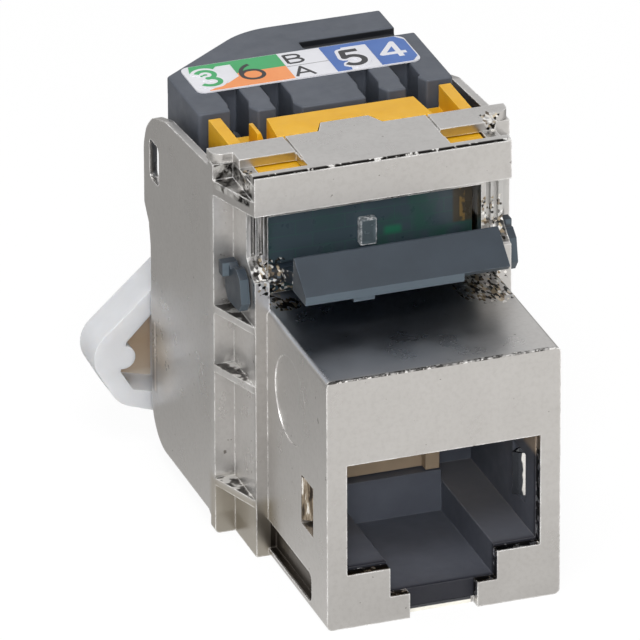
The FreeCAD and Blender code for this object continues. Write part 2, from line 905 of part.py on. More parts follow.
def build_port_contacts():
    """Eight bent springs: a flat run under the carrier, a bend at the front and a leg into the port."""
    run_top = S.contact_run_z + S.contact_wall
    strip = [
        (S.board_front_y, run_top),
        (S.contact_bend_y + 0.6, run_top),
        (S.contact_bend_y, S.contact_run_z - 0.1),
        (S.contact_tip_y, S.contact_tip_z),
        (S.contact_tip_y + 0.15, S.contact_tip_z + S.contact_wall),
        (S.contact_bend_y + 0.7, S.contact_run_z - 0.15),
        (S.contact_bend_y + 1.2, S.contact_run_z),
        (S.board_front_y, S.contact_run_z),
    ]
    for number in range(8):
        body = new_body(f"port_contact_{number + 1}")
        pad(body, f"contact_strip_{number + 1}", "YZ", (S.contact_width * -0.5, S.contact_width * 0.5), [strip])
        bind(body, "Placement.Base.x", S.contact_pitch * (number - 3.5))


def build_ground_springs():
    """A bent leaf in each side window of the nose, which touches the plug's shield."""
    front_y = S.spring_window_y + S.small_gap
    rear_y = S.spring_window_y + S.spring_window_length - S.small_gap
    outer_x = S.nose_half_width - S.small_gap
    tip_x = S.nose_inner_x - S.liner_wall - S.spring_reach
    bulge = ((0, 0), (0.2, 0.35), (0.36, 0.8), (0.5, 1), (0.64, 0.8), (0.8, 0.35), (1, 0))
    wave = [(outer_x - (outer_x - tip_x) * reach, front_y + (rear_y - front_y) * step) for step, reach in bulge]
    leaf = [(u - S.spring_wall, v) for u, v in wave] + list(reversed(wave))
    span = (S.spring_window_low + S.spring_wall, S.spring_window_high - S.spring_wall)
    for which, outline in (("right", leaf), ("left", mirror_loop(leaf))):
        body = new_body("ground_spring_" + which)
        pad(body, "leaf_" + which, "XY", span, [outline])


def build_circuit_board():
    body = new_body("circuit_board")
    block(
        body,
        "board_plate",
        (-S.board_half_width, S.board_half_width),
        (S.board_front_y, S.board_rear_y),
        (S.board_low_z, S.board_high_z),
    )


def build_status_lamp():
    """The clear block on the board that shows in the window."""
    body = new_body("status_lamp")
    block(
        body,
        "lamp_block",
        (S.lamp_x - S.lamp_width * 0.5, S.lamp_x + S.lamp_width * 0.5),
        (S.board_front_y - S.lamp_depth, S.board_front_y),
        (S.lamp_low_z, S.lamp_high_z),
    )


def build_contact_block():
    """The yellow block behind the board, with a bar, horns and toes that show round the cap."""
    body = new_body("contact_block")
    side = S.block_half_width
    block(body, "block_core", (-side, side), (S.board_rear_y, S.block_rear_y), (S.block_low_z, S.block_high_z))

    gap = S.slide_gap * 0.5
    bar = [
        (S.cap_tab_left_x, S.cap_tab_rear_y + gap),
        (S.cap_tab_right_x, S.cap_tab_rear_y + gap),
        (S.cap_tab_right_x + S.cap_tab_splay + gap, S.cap_rear_y + gap),
        (S.bar_half_width + S.bar_splay, S.cap_rear_y + gap),
        (S.bar_half_width, S.block_rear_y),
        (-S.bar_half_width, S.block_rear_y),
        (-S.bar_half_width - S.bar_splay, S.cap_rear_y + gap),
        (S.cap_tab_left_x - S.cap_tab_splay - gap, S.cap_rear_y + gap),
    ]
    pad(body, "top_bar", "XY", (S.block_high_z, S.cap_top_z), [bar])
    block(
        body,
        "bottom_bar",
        (-S.bar_half_width, S.bar_half_width),
        (S.board_rear_y, S.block_rear_y),
        (S.holder_low_z, S.block_low_z),
    )

    for which, low_x in (("right", side - S.horn_wall), ("left", -side)):
        across = (low_x, low_x + S.horn_wall)
        top = (S.horn_high_z - S.horn_height, S.horn_high_z)
        front_y = S.cap_rear_y + gap
        block(body, which + "_top_horn", across, (front_y, S.horn_rear_y), top)
        bottom = (S.holder_low_z, S.holder_low_z + S.horn_height)
        block(body, which + "_bottom_horn", across, (front_y, S.horn_rear_y), bottom)
    hook_x = S.bar_half_width + S.bar_splay * 0.5
    hook = [
        (hook_x, S.block_high_z - 0.5),
        (hook_x + S.hook_wall * 2, S.block_high_z - 0.5),
        (hook_x + S.hook_wall * 2, S.horn_high_z),
        (hook_x + S.hook_wall * 1.4, S.horn_high_z),
        (hook_x + S.hook_wall * 0.6, S.horn_high_z - 0.9),
        (hook_x, S.horn_high_z - 1.0),
    ]
    hook_span = (S.block_rear_y + 0.5 - S.hook_length, S.block_rear_y + 0.5)
    pad(body, "hook", "XZ", hook_span, [mirror_loop(hook)])
    ledge_high = S.body_top_z - S.ledge_drop
    for which, across in (("right", (hook_x, side)), ("left", (-side, -hook_x))):
        block(
            body,
            which + "_ledge",
            across,
            (S.block_rear_y - 0.1, S.holder_middle_y - S.slide_gap),
            (ledge_high - S.ledge_height, ledge_high),
        )
    toe_outer = S.body_inner_x - S.slide_gap
    for which, low_x in (("right", toe_outer - S.toe_width), ("left", -toe_outer)):
        block(
            body,
            which + "_toe",
            (low_x, low_x + S.toe_width),
            (S.toe_front_y, S.board_rear_y + OVERRUN),
            (S.brow_low_z + S.brow_wall + S.slide_gap, S.body_top_z - S.slide_gap),
        )
    for number, centre in enumerate(slot_centres, start=1):
        for which, middle_z in (("top", S.fork_z), ("bottom", 2 * S.axis_z - S.fork_z)):
            block(
                body,
                f"{which}_fork_slot_{number}",
                (centre - S.fork_half_width, centre + S.fork_half_width),
                (S.board_rear_y - OVERRUN, S.holder_front_y),
                (middle_z - S.fork_wall * 0.5, middle_z + S.fork_wall * 0.5),
                cut=True,
            )


def build_wire_forks():
    """Eight slit blades from the board into the slots of the wire holder."""
    half = S.fork_half_width
    slit = S.fork_gap * 0.5
    fork = [
        (-half, S.board_rear_y),
        (half, S.board_rear_y),
        (half, S.fork_rear_y - 0.3),
        (slit + 0.1, S.fork_rear_y),
        (slit, S.fork_rear_y - 0.4),
        (slit, S.fork_root_y),
        (-slit, S.fork_root_y),
        (-slit, S.fork_rear_y - 0.4),
        (-slit - 0.1, S.fork_rear_y),
        (-half, S.fork_rear_y - 0.3),
    ]
    for which, middle_z in (("top", S.fork_z), ("bottom", 2 * S.axis_z - S.fork_z)):
        for number, centre in enumerate(slot_centres, start=1):
            body = new_body(f"wire_fork_{which}_{number}")
            span = (S.fork_wall * -0.5, S.fork_wall * 0.5)
            pad(body, f"{which}_blade_{number}", "XY", span, [fork])
            bind(body, "Placement.Base.x", centre)
            bind(body, "Placement.Base.z", middle_z)


def build_wire_holder():
    """The dark holder: combs for four wires above and four below, a hood and the neck for the cable."""
    body = new_body("wire_holder")
    side = S.holder_half_width
    block(body, "holder_block", (-side, side), (S.holder_front_y, S.holder_rear_y), (S.holder_low_z, S.holder_high_z))
    soften(
        body,
        "holder_corner_rounds",
        S.slot_kink,
        "z",
        lambda p: near(p.y, S.holder_front_y),
    )
    inner_end = S.inner_slot_x - S.slot_half_width
    middle_start = S.inner_slot_x + S.slot_half_width
    middle_end = S.outer_slot_x - S.slot_half_width
    combs = (("top", S.comb_high_z, S.holder_high_z), ("bottom", S.holder_low_z, S.comb_low_z))
    for which, low, high in combs:
        block(body, which + "_centre_pillar", (-inner_end, inner_end), (S.holder_centre_y, S.slot_kink_y), (low, high))
        for hand, low_x in (("right", middle_start), ("left", -middle_end)):
            across = (low_x, low_x + middle_end - middle_start)
            block(body, f"{which}_{hand}_pillar", across, (S.holder_middle_y, S.slot_kink_y), (low, high))

    hood = [
        (-side, S.holder_rear_y - 0.5),
        (-side, S.holder_rear_y),
        (-S.hood_left_x, S.hood_rear_y),
        (S.hood_right_x, S.hood_rear_y),
        (S.hood_right_x, S.label_deck_y),
        (side, S.label_deck_y),
        (side, S.holder_rear_y - 0.5),
    ]
    hood_low = S.holder_high_z - S.hood_wall
    pad(body, "hood", "XY", (hood_low, S.holder_high_z), [hood])
    soften(
        body,
        "hood_shoulder_round",
        S.hood_round,
        "z",
        lambda p: near(p.x, -S.hood_left_x) and near(p.y, S.hood_rear_y),
    )
    block(
        body,
        "hood_groove",
        (S.groove_left_x, S.hood_right_x + OVERRUN),
        (S.label_deck_y, S.label_deck_y + S.groove_width),
        (S.holder_high_z - S.groove_depth, S.holder_high_z + OVERRUN),
        cut=True,
    )

    flared = (S.holder_middle_y, S.holder_centre_y, S.holder_middle_y, S.holder_front_y)
    for number, (centre, lip_y) in enumerate(zip(slot_centres, flared), start=1):
        half = S.slot_half_width
        slot = [
            (centre - half, S.holder_centre_y - OVERRUN),
            (centre + half + S.slot_flare, S.holder_centre_y - OVERRUN),
            (centre + half + S.slot_flare, lip_y),
            (centre + half, lip_y + S.slot_flare_length),
            (centre + half + S.slot_kink, S.slot_kink_y + S.slot_kink),
            (centre + half + S.slot_kink, S.slot_rear_y),
            (centre - half + S.slot_kink * 0.5, S.slot_rear_y),
            (centre - half + S.slot_kink * 0.5, S.slot_kink_y + S.slot_kink),
            (centre - half, S.slot_kink_y - S.slot_kink),
        ]
        for which, low, high in combs:
            span = (low - 0.1, high + 0.1)
            pocket(body, f"{which}_wire_slot_{number}", "XY", span, [slot])
    inside = S.chamber_half_width
    block(
        body,
        "wire_chamber",
        (-inside, inside),
        (S.holder_centre_y - OVERRUN, S.chamber_rear_y),
        (S.comb_low_z, S.comb_high_z),
        cut=True,
    )

    for which, low_x in (("right", side), ("left", 2 * S.slide_gap - S.cheek_inner_x)):
        rail = S.cheek_inner_x - 2 * S.slide_gap - side
        block(
            body,
            which + "_rail",
            (low_x, low_x + rail),
            (S.holder_front_y + 0.5, S.holder_rear_y),
            (S.rail_low_z, S.rail_high_z),
        )
        block(
            body,
            which + "_catch",
            (low_x, low_x + rail),
            (S.catch_y + S.slide_gap, S.catch_y + S.catch_length - S.slide_gap),
            (S.catch_low_z + S.slide_gap, S.catch_high_z - S.slide_gap),
        )

    axis = (as_size(0), S.axis_z)
    rod(body, "neck", "XZ", axis, S.neck_radius, (S.chamber_rear_y, S.neck_rear_y))
    rod(body, "neck_collar", "XZ", axis, S.collar_radius, (S.neck_rear_y, S.neck_rear_y + S.collar_length))
    span = (S.chamber_rear_y - OVERRUN, S.neck_rear_y + S.collar_length + OVERRUN)
    rod(body, "cable_bore", "XZ", axis, S.bore_radius, span, cut=True)


def build_shield_clamp():
    """A split spring sleeve in the neck that grips the cable's shield."""
    body = new_body("shield_clamp")
    axis = (as_size(0), S.axis_z)
    outer = S.bore_radius - S.small_gap
    span = (S.clamp_front_y, S.neck_rear_y)
    pad(body, "sleeve", "XZ", span, circles=[(axis, outer), (axis, outer - S.clamp_wall)])
    block(
        body,
        "sleeve_gap",
        (S.clamp_gap_width * -0.5, S.clamp_gap_width * 0.5),
        (S.clamp_front_y - OVERRUN, S.neck_rear_y + OVERRUN),
        (S.axis_z - S.bore_radius - OVERRUN, S.axis_z),
        cut=True,
    )


def build_label():
    """The printed label: a white base with a green, an orange and a blue field."""
    base_top = S.holder_high_z + S.label_wall
    ink_top = base_top + S.label_ink_wall
    body = new_body("pin_label")
    side = S.label_half_width
    block(body, "label_base", (-side, side), (S.label_front_y, S.label_rear_y), (S.holder_high_z, base_top))
    soften(body, "label_corners", S.label_round, "z", lambda p: True)

    left = -side + S.label_round
    right = side - S.label_round
    rear = S.label_rear_y - S.label_edge
    front = S.label_front_y + S.label_edge
    middle = (S.label_front_y + S.label_rear_y) * 0.5
    green = [
        (left, rear),
        (left - 0.2, middle + 0.9),
        (left + 0.5, middle + 0.1),
        (S.label_second_x - 0.9, rear - 0.35),
        (S.label_second_x, rear - 0.35),
        (S.label_second_x, middle),
        (S.label_third_x, middle),
        (S.label_third_x, rear),
    ]
    orange = [
        (left + 0.2, front),
        (left + 1.6, middle - 1.1),
        (S.label_second_x, middle - 0.4),
        (S.label_second_x, middle),
        (S.label_third_x, middle),
        (S.label_third_x, front),
    ]
    blue = [
        (S.label_fourth_x, front),
        (S.label_fourth_x, rear),
        (right, rear),
        (side - S.label_edge, rear - S.label_round),
        (side - S.label_edge, front + S.label_round),
        (right, front),
        (S.label_fifth_x, front),
        (S.label_fifth_x, rear - 0.35),
        (S.label_fourth_x + 1.2, rear - 0.35),
        (S.label_fourth_x + 0.9, front),
    ]
    for colour, outline in (("green", green), ("orange", orange), ("blue", blue)):
        body = new_body("label_" + colour)
        pad(body, colour + "_field", "XY", (base_top, ink_top), [outline])


def build_latch():
    """The panel latch: a ramped bar on an arm that turns on a round rod between two ears."""
    body = new_body("latch")
    side = S.latch_half_width
    ramp = [
        (S.latch_rear_y + 0.1, S.latch_low_z),
        (S.latch_rear_y, S.latch_high_z),
        (S.latch_rear_y - 0.15, S.latch_high_z),
        (S.latch_front_y, S.latch_lip_z),
        (S.latch_front_y + S.latch_lip_reach, S.latch_low_z + 0.2),
        (S.latch_front_y + S.latch_lip_reach * 2, S.latch_low_z + 0.2),
        (S.latch_front_y + S.latch_lip_reach * 3, S.latch_low_z),
    ]
    pad(body, "ramp_bar", "YZ", (-side, side), [ramp])
    lip = [
        (S.latch_front_y + 0.5, S.latch_lip_z - 0.2),
        (S.latch_front_y, S.latch_lip_z),
        (S.latch_front_y + 0.05, S.latch_low_z),
        (S.latch_rear_y - 0.5, S.latch_low_z),
        (S.latch_rear_y - 0.5, S.latch_lip_z - 0.2),
    ]
    pad(body, "lip", "YZ", (-side, S.latch_lip_right_x), [lip])
    block(
        body,
        "lip_pad",
        (S.latch_pad_x - S.latch_pad_width * 0.5, S.latch_pad_x + S.latch_pad_width * 0.5),
        (S.latch_front_y + 0.1, S.latch_front_y + 0.8),
        (S.latch_low_z - S.latch_pad_height, S.latch_low_z + 0.2),
    )
    arm = [
        (S.latch_rear_y + 0.1, S.latch_low_z),
        (S.pivot_y - S.pivot_radius * 0.3, S.pivot_z - S.pivot_radius * 0.6),
        (S.pivot_y, S.pivot_z + S.pivot_radius * 0.6),
        (S.latch_rear_y, S.latch_low_z + S.arm_wall + 0.15),
        (S.latch_rear_y - 0.6, S.latch_low_z + S.arm_wall),
        (S.latch_rear_y - 0.6, S.latch_low_z),
    ]
    pad(body, "arm", "YZ", (-S.arm_half_width, S.arm_half_width), [arm])
    pivot = (S.pivot_y, S.pivot_z)
    ear_inner = S.body_half_width + S.ear_gap
    ear_outer = ear_inner + S.ear_wall
    rod(body, "pivot_rod", "YZ", pivot, S.pivot_radius, (-ear_outer, ear_outer))
    turns = (
        (-3.8, -0.9),
        (-3.0, -2.0),
        (0.4, -2.1),
        (1.0, -1.2),
        (1.0, 2.0),
        (-0.1, 2.0),
        (-0.6, 1.5),
        (-1.4, 2.1),
        (-2.3, 2.2),
        (-3.3, 1.5),
    )
    ear = [(S.pivot_y + S.pivot_radius * along, S.pivot_z + S.pivot_radius * up) for along, up in turns]
    knob = [(S.pivot_y + S.pivot_radius * along, S.pivot_z + S.pivot_radius * up) for along, up in
            ((-0.1, 0.6), (1.0, 0.6), (1.0, 2.0), (-0.1, 2.0))]
    knob_outer = ear_outer + 0.4
    pad(body, "right_ear", "YZ", (ear_inner, ear_outer), [ear])
    pad(body, "left_ear", "YZ", (-ear_outer, -ear_inner), [ear])
    pad(body, "right_knob", "YZ", (ear_inner, knob_outer), [knob])
    pad(body, "left_knob", "YZ", (-knob_outer, -ear_inner), [knob])


def build_lever():
    """The milky lever: a ring on the holder's neck with one scooped wing."""
    body = new_body("lever")
    axis = (as_size(0), S.axis_z)
    inner = S.neck_radius + S.ring_gap
    outer = inner + S.ring_wall
    front = S.holder_rear_y + S.ring_front_gap
    rear = S.neck_rear_y - S.ring_gap
    rod(body, "ring", "XZ", axis, outer, (front, rear))
    wing = [
        (-S.wing_root_x, S.wing_root_z + 1.2),
        (-S.wing_reach, S.wing_tip_z),
        (-S.wing_chin_x, S.wing_chin_z),
        (-S.wing_heel_x, S.wing_heel_z),
        (-S.wing_toe_x, S.wing_toe_z),
        (-S.wing_toe_x + 1.6, S.wing_toe_z),
        (-S.bore_radius, S.axis_z - outer + 1.0),
    ]
    pad(body, "wing", "XZ", (front, rear - S.wing_inset), [wing])
    soften(
        body,
        "wing_tip_rounds",
        S.wing_tip_round,
        "y",
        lambda p: near(p.x, -S.wing_reach) or near(p.x, -S.wing_chin_x),
    )
    rim = S.scoop_rim
    scoop = [
        (-S.wing_toe_x - 0.3, S.wing_root_z - rim - 0.9),
        (-S.wing_reach + rim + 1.2, S.wing_tip_z + 0.5),
        (-S.wing_reach + rim + 0.8, S.wing_tip_z - 1.4),
        (-S.wing_chin_x + rim * 0.7, S.wing_chin_z + rim * 0.6),
        (-S.wing_toe_x - 0.3, S.wing_chin_z + 0.3),
    ]
    pocket(body, "scoop", "XZ", (front - OVERRUN, front + S.scoop_depth), [scoop])
    bump = (-S.wing_reach + rim + 1.0, S.wing_tip_z - 0.5)
    rod(body, "scoop_bump", "XZ", bump, S.scoop_bump_radius, (front, rear - S.wing_inset - S.ring_gap))
    rod(body, "ring_hole", "XZ", axis, inner, (front - OVERRUN, rear + OVERRUN), cut=True)


build_front_housing()
build_top_cap()
build_port_liner()
build_contact_carrier()
build_port_contacts()
build_ground_springs()
build_circuit_board()
build_status_lamp()
build_contact_block()
build_wire_forks()
build_wire_holder()
build_shield_clamp()
build_label()
build_latch()
build_lever()
doc.recompute()

for thing in doc.Objects:
    if "Invalid" in thing.State or "Error" in thing.State:
        raise RuntimeError(f"{thing.Name} failed: {thing.State}")
for feature in growing:
    base = feature.BaseFeature
    if base is not None and feature.Shape.Volume <= base.Shape.Volume:
        raise RuntimeError(f"{feature.Name} adds nothing")
for feature in cutting:
    if feature.Shape.Volume >= feature.BaseFeature.Shape.Volume:
        raise RuntimeError(f"{feature.Name} cuts nothing")
for node in nodes:
    if node.Shape.isNull() or not node.Shape.isValid() or len(node.Shape.Solids) != 1:
        raise RuntimeError(f"{node.Label} is not one sound solid")

os.makedirs("parts", exist_ok=True)
for node in nodes:
    node.Shape.exportStep(f"parts/{node.Label}.step")
print(len(nodes), "nodes written")
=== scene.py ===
"""Looks for the shielded network jack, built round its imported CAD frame."""
import json
import math

import bmesh
import bpy
from mathutils import Matrix, Vector
from mathutils.geometry import delaunay_2d_cdt


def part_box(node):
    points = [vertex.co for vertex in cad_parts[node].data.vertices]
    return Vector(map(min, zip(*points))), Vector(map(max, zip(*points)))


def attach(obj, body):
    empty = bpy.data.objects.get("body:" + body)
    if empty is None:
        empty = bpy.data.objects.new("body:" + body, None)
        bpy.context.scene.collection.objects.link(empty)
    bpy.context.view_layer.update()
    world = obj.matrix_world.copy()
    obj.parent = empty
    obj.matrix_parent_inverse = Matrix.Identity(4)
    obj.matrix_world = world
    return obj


MM = 0.001

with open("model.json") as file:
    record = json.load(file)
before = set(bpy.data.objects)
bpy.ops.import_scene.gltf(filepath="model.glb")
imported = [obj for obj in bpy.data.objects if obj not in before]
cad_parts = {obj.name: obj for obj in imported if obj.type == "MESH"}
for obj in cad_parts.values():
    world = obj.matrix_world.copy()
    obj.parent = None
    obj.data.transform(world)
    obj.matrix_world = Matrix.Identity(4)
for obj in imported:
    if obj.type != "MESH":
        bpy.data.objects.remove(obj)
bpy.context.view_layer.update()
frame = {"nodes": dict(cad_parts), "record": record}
scene = bpy.context.scene


# Places that the materials mark, in millimetres

# Middle of the painted brown reflection of the lever's scoop on the cheek
SCOOP_REFLECTION_SPOT = (-9.27, 24.2, 7.5)
CHEEK_X = (-9.4, -9.2)
LINE_Y = 25.16
LINE_Z = (4.4, 8.9)
SEAM_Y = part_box("top_cap")[0][1] / MM
SPARKLES = [
    ((-6.7, 10.9, 18.0), 1.7),
    ((-6.2, 12.8, 17.0), 1.6),
    ((-5.6, 14.1, 16.2), 1.9),
    ((-6.0, 10.9, 16.1), 1.3),
    ((7.3, 10.8, 19.6), 2.0),
    ((6.1, 8.9, 16.1), 2.8),
    ((-7.6, 11.9, 24.3), 1.2),
    ((8.0, 13.6, 24.7), 1.2),
]
WHOLE_WIDTH = (-9.0, 9.0)
LATCH_ROD = (-7.1, -5.6)

# Parts of the front housing
TOES = {"x": (-9.3, -7.3), "y": (10.0, 14.7), "z": (-0.2, 3.4)}
DECK = {"y": (0.4, 12.8), "z": (15.9, 16.3)}
LEFT_JAMB = {"x": (-7.7, -6.6), "y": (10.9, 14.0), "z": (18.8, 21.6)}
RIGHT_JAMB = {"x": (7.1, 9.1), "y": (10.8, 14.8), "z": (18.6, 22.6)}
CORNER_HOLLOW = {"x": (-9.15, -7.7), "y": (10.9, 14.4), "z": (22.8, 24.15)}
LEFT_CELLS = {"x": (-9.1, -6.9), "y": (10.9, 14.6), "z": (1.5, 22.0)}
DISC_MARK = {"x": (-7.4, -6.9), "y": (0.9, 8.6), "z": (4.6, 12.6)}
SILL = {"x": (-6.32, 6.32), "y": (0.16, 1.5), "z": (0.5, 9.5)}
BROW = {"x": (-7.0, 7.0), "y": (9.5, 11.2), "z": (22.06, 22.24)}
DECK_LIP = {"x": (-7.2, 7.2), "y": (-0.1, 0.2), "z": (16.07, 16.3)}
MOUTH_STRIP = {"x": (-1.92, 1.92), "y": (-0.1, 1.5), "z": (-0.1, 0.44)}

# Parts of the port, the board and the hood
WELL_RIM = {"x": (-4.9, 0.05), "y": (9.3, 9.9), "z": (4.42, 5.2)}
PORT_SHELF = {"x": (1.6, 6.2), "y": (0.8, 12.0), "z": (3.45, 4.2)}
PORT_CORNER = {"x": (5.4, 6.3), "y": (-0.4, 4.2), "z": (9.3, 11.5)}
BOARD_TRACE = {"x": (1.5, 2.3), "z": (18.15, 18.4)}
BOARD_END = {"x": (5.75, 7.0), "z": (18.2, 23.0)}
BOARD_STRIP = {"x": (6.12, 6.4)}
HOOD_GROOVE = {"x": (0.95, 7.75), "y": (27.15, 28.25), "z": (23.9, 24.42)}


# Shades along a pattern, as stops of a ramp

# Painted glints, from black through gold to white
GLINT_SHADES = [
    (0.36, (0.02, 0.018, 0.016)),
    (0.46, (0.20, 0.15, 0.10)),
    (0.62, (0.50, 0.41, 0.28)),
    (0.72, (0.78, 0.69, 0.55)),
    (0.78, (1.0, 0.98, 0.95)),
]
RIB_SHADES = [(0.44, (0.02, 0.018, 0.017)), (0.50, (0.16, 0.15, 0.14)), (0.55, (0.95, 0.94, 0.92))]
JAMB_HIGHLIGHT_SHADES = [(0.42, (0.06, 0.055, 0.05)), (0.50, (0.30, 0.29, 0.28)), (0.60, (0.75, 0.73, 0.71))]
SEAM_HIGHLIGHT_SHADES = [(0.55, (0.035, 0.032, 0.03)), (0.58, (0.4, 0.38, 0.36)), (0.61, (1.0, 0.99, 0.97))]
LEAF_SHADES = [
    (0.40, (0.04, 0.032, 0.026)),
    (0.47, (0.22, 0.17, 0.12)),
    (0.55, (0.42, 0.35, 0.27)),
    (0.60, (1.0, 0.97, 0.92)),
]
PORT_FILL_LIGHT_SHADES = [
    (0.07, (0.30, 0.29, 0.34)),
    (0.10, (1.5, 1.45, 1.4)),
    (0.4, (2.3, 2.25, 2.2)),
    (1.0, (2.3, 2.3, 2.25)),
]
SCOOP_SHADE_RAMP = [
    (0.0, (0.66, 0.63, 0.60)),
    (0.25, (0.37, 0.29, 0.22)),
    (0.6, (0.31, 0.22, 0.145)),
    (1.0, (0.27, 0.21, 0.16)),
]
ROOM_SHADES = [
    (0.0, (0.30, 0.29, 0.28)),
    (0.52, (0.42, 0.415, 0.41)),
    (0.62, (0.80, 0.80, 0.80)),
    (1.0, (1.0, 1.0, 1.0)),
]


# Node helpers


def new_material(name):
    made = bpy.data.materials.new(name)
    made.use_nodes = True
    tree = made.node_tree
    shader = tree.nodes["Principled BSDF"]
    return made, tree, shader


def opened(made):
    """The tree, the shader and the colour of a finished plastic, for a material that adds to it."""
    tree = made.node_tree
    shader = tree.nodes["Principled BSDF"]
    return tree, shader, shader.inputs["Base Color"].links[0].from_socket


def node(tree, kind, **settings):
    made = tree.nodes.new(kind)
    for key, value in settings.items():
        setattr(made, key, value)
    return made


def feed(tree, socket, value):
    """Link the socket to the value, or set it where the value is a number or a colour."""
    if isinstance(value, bpy.types.NodeSocket):
        tree.links.new(value, socket)
    elif isinstance(value, (int, float)):
        socket.default_value = value
    else:
        socket.default_value = (*value, 1)


def combine(tree, operation, first, *others):
    """One value out of several, two at a time."""
    for other in others:
        made = node(tree, "ShaderNodeMath", operation=operation)
        feed(tree, made.inputs[0], first)
        feed(tree, made.inputs[1], other)
        first = made.outputs[0]
    return first


def times(tree, *masks):
    return combine(tree, "MULTIPLY", *masks)


def most(tree, *masks):
    return combine(tree, "MAXIMUM", *masks)


def span(tree, source, low, high, from_low=0.0, from_high=1.0):
    """The source's range from_low to from_high turned into low to high, and no further."""
    made = node(tree, "ShaderNodeMapRange")
    made.inputs["From Min"].default_value = from_low
    made.inputs["From Max"].default_value = from_high
    made.inputs["To Min"].default_value = low
    made.inputs["To Max"].default_value = high
    tree.links.new(source, made.inputs["Value"])
    return made.outputs["Result"]


def ramp(tree, source, stops):
    made = node(tree, "ShaderNodeValToRGB")
    band = made.color_ramp
    while len(band.elements) < len(stops):
        band.elements.new(0.5)
    for element, (spot, colour) in zip(band.elements, stops):
        element.position = spot
        element.color = (*colour, 1)
    tree.links.new(source, made.inputs["Fac"])
    return made.outputs["Color"]


def mix(tree, fac, a, b, kind="MIX"):
    made = node(tree, "ShaderNodeMix", data_type="RGBA", blend_type=kind)
    colour_a, colour_b = made.inputs[6], made.inputs[7]
    feed(tree, made.inputs["Factor"], fac)
    feed(tree, colour_a, a)
    feed(tree, colour_b, b)
    return made.outputs[2]


def bump(tree, shader, height, strength, distance_mm):
    made = node(tree, "ShaderNodeBump")
    feed(tree, made.inputs["Strength"], strength)
    made.inputs["Distance"].default_value = distance_mm * MM
    tree.links.new(height, made.inputs["Height"])
    tree.links.new(made.outputs["Normal"], shader.inputs["Normal"])


def point(tree, stretch=None):
    """The point that is shaded, in metres, fixed to the object.

    A stretch of (1, 1, 5) draws a pattern out to five times its length along z.
    """
    spot = node(tree, "ShaderNodeTexCoord").outputs["Object"]
    if stretch:
        drawn = node(tree, "ShaderNodeMapping")
        drawn.inputs["Scale"].default_value = [1.0 / part for part in stretch]
        tree.links.new(spot, drawn.inputs["Vector"])
        spot = drawn.outputs["Vector"]
    return spot


def part_of(tree, vector, letter):
    parts = node(tree, "ShaderNodeSeparateXYZ")
    tree.links.new(vector, parts.inputs[0])
    return parts.outputs[letter]


def axis(tree, letter):
    """One coordinate of the point, in metres, fixed to the object."""
    return part_of(tree, point(tree), letter)


def facing(tree, letter):
    """How far the surface faces along one axis, from -1 to 1."""
    shape = node(tree, "ShaderNodeNewGeometry")
    return part_of(tree, shape.outputs["True Normal"], letter)


def noise(tree, size_mm, detail=2.0, rough=0.5, stretch=None):
    """A noise pattern whose features are about size_mm wide."""
    made = node(tree, "ShaderNodeTexNoise")
    made.inputs["Scale"].default_value = 1.0 / (size_mm * MM)
    made.inputs["Detail"].default_value = detail
    made.inputs["Roughness"].default_value = rough
    tree.links.new(point(tree, stretch), made.inputs["Vector"])
    return made.outputs["Fac"]


# Masks, from 0 to 1


def near(tree, spot_mm, radius_mm, soft=0.5):
    """1 close to the spot, falling to 0 at the radius."""
    gap = node(tree, "ShaderNodeVectorMath", operation="DISTANCE")
    gap.inputs[1].default_value = [v * MM for v in spot_mm]
    tree.links.new(point(tree), gap.inputs[0])
    return span(tree, gap.outputs["Value"], 1.0, 0.0, radius_mm * (1 - soft) * MM, radius_mm * MM)


def zone(tree, soft_mm=0.1, **sides):
    """1 inside a box given by the ranges x, y and z, and 0 outside it."""
    inside = 1.0
    for letter, (low_mm, high_mm) in sides.items():
        place = axis(tree, letter.upper())
        rise = span(tree, place, 0.0, 1.0, (low_mm - soft_mm) * MM, low_mm * MM)
        fall = span(tree, place, 1.0, 0.0, high_mm * MM, (high_mm + soft_mm) * MM)
        inside = times(tree, inside, rise, fall)
    return inside


def facing_up(tree):
    return span(tree, facing(tree, "Z"), 0.0, 1.0, 0.6, 0.8)


def cavity(tree, reach_mm, low, high):
    """1 where three walls meet and 0 in the open."""
    shade = node(tree, "ShaderNodeAmbientOcclusion", samples=12, only_local=True)
    shade.inputs["Distance"].default_value = reach_mm * MM
    return span(tree, shade.outputs["AO"], 1.0, 0.0, low, high)


def edge_mask(tree, radius_mm, low, high):
    """1 on sharp edges and 0 on flat stretches, from the difference that rounding makes to the normal."""
    soft = node(tree, "ShaderNodeBevel", samples=6)
    soft.inputs["Radius"].default_value = radius_mm * MM
    flat = node(tree, "ShaderNodeNewGeometry")
    dot = node(tree, "ShaderNodeVectorMath", operation="DOT_PRODUCT")
    tree.links.new(soft.outputs["Normal"], dot.inputs[0])
    tree.links.new(flat.outputs["Normal"], dot.inputs[1])
    return span(tree, dot.outputs["Value"], 1.0, 0.0, low, high)


def ragged(tree):
    """Patches that break up the outline of a dark place."""
    return span(tree, noise(tree, 0.5, 4, 0.7), 0.25, 1.0, 0.42, 0.56)


def sprinkle(tree, colour, reach=WHOLE_WIDTH):
    """Painted glints, white, gold and black, round SPARKLES, fewer towards the rim of each patch."""
    cells = node(tree, "ShaderNodeTexVoronoi")
    cells.inputs["Scale"].default_value = 1.0 / (0.17 * MM)
    tree.links.new(point(tree, (1, 1 / 0.45, 1)), cells.inputs["Vector"])
    draws = node(tree, "ShaderNodeSeparateColor")
    tree.links.new(cells.outputs["Color"], draws.inputs[0])
    glints = ramp(tree, draws.outputs["Red"], GLINT_SHADES)
    within = zone(tree, 0.05, x=reach)
    for spot, radius in SPARKLES:
        chance = times(tree, near(tree, spot, radius, 0.8), within, draws.outputs["Green"])
        colour = mix(tree, span(tree, chance, 0.0, 1.0, 0.22, 0.26), colour, glints)
    return colour


# Nickel plate over the casting


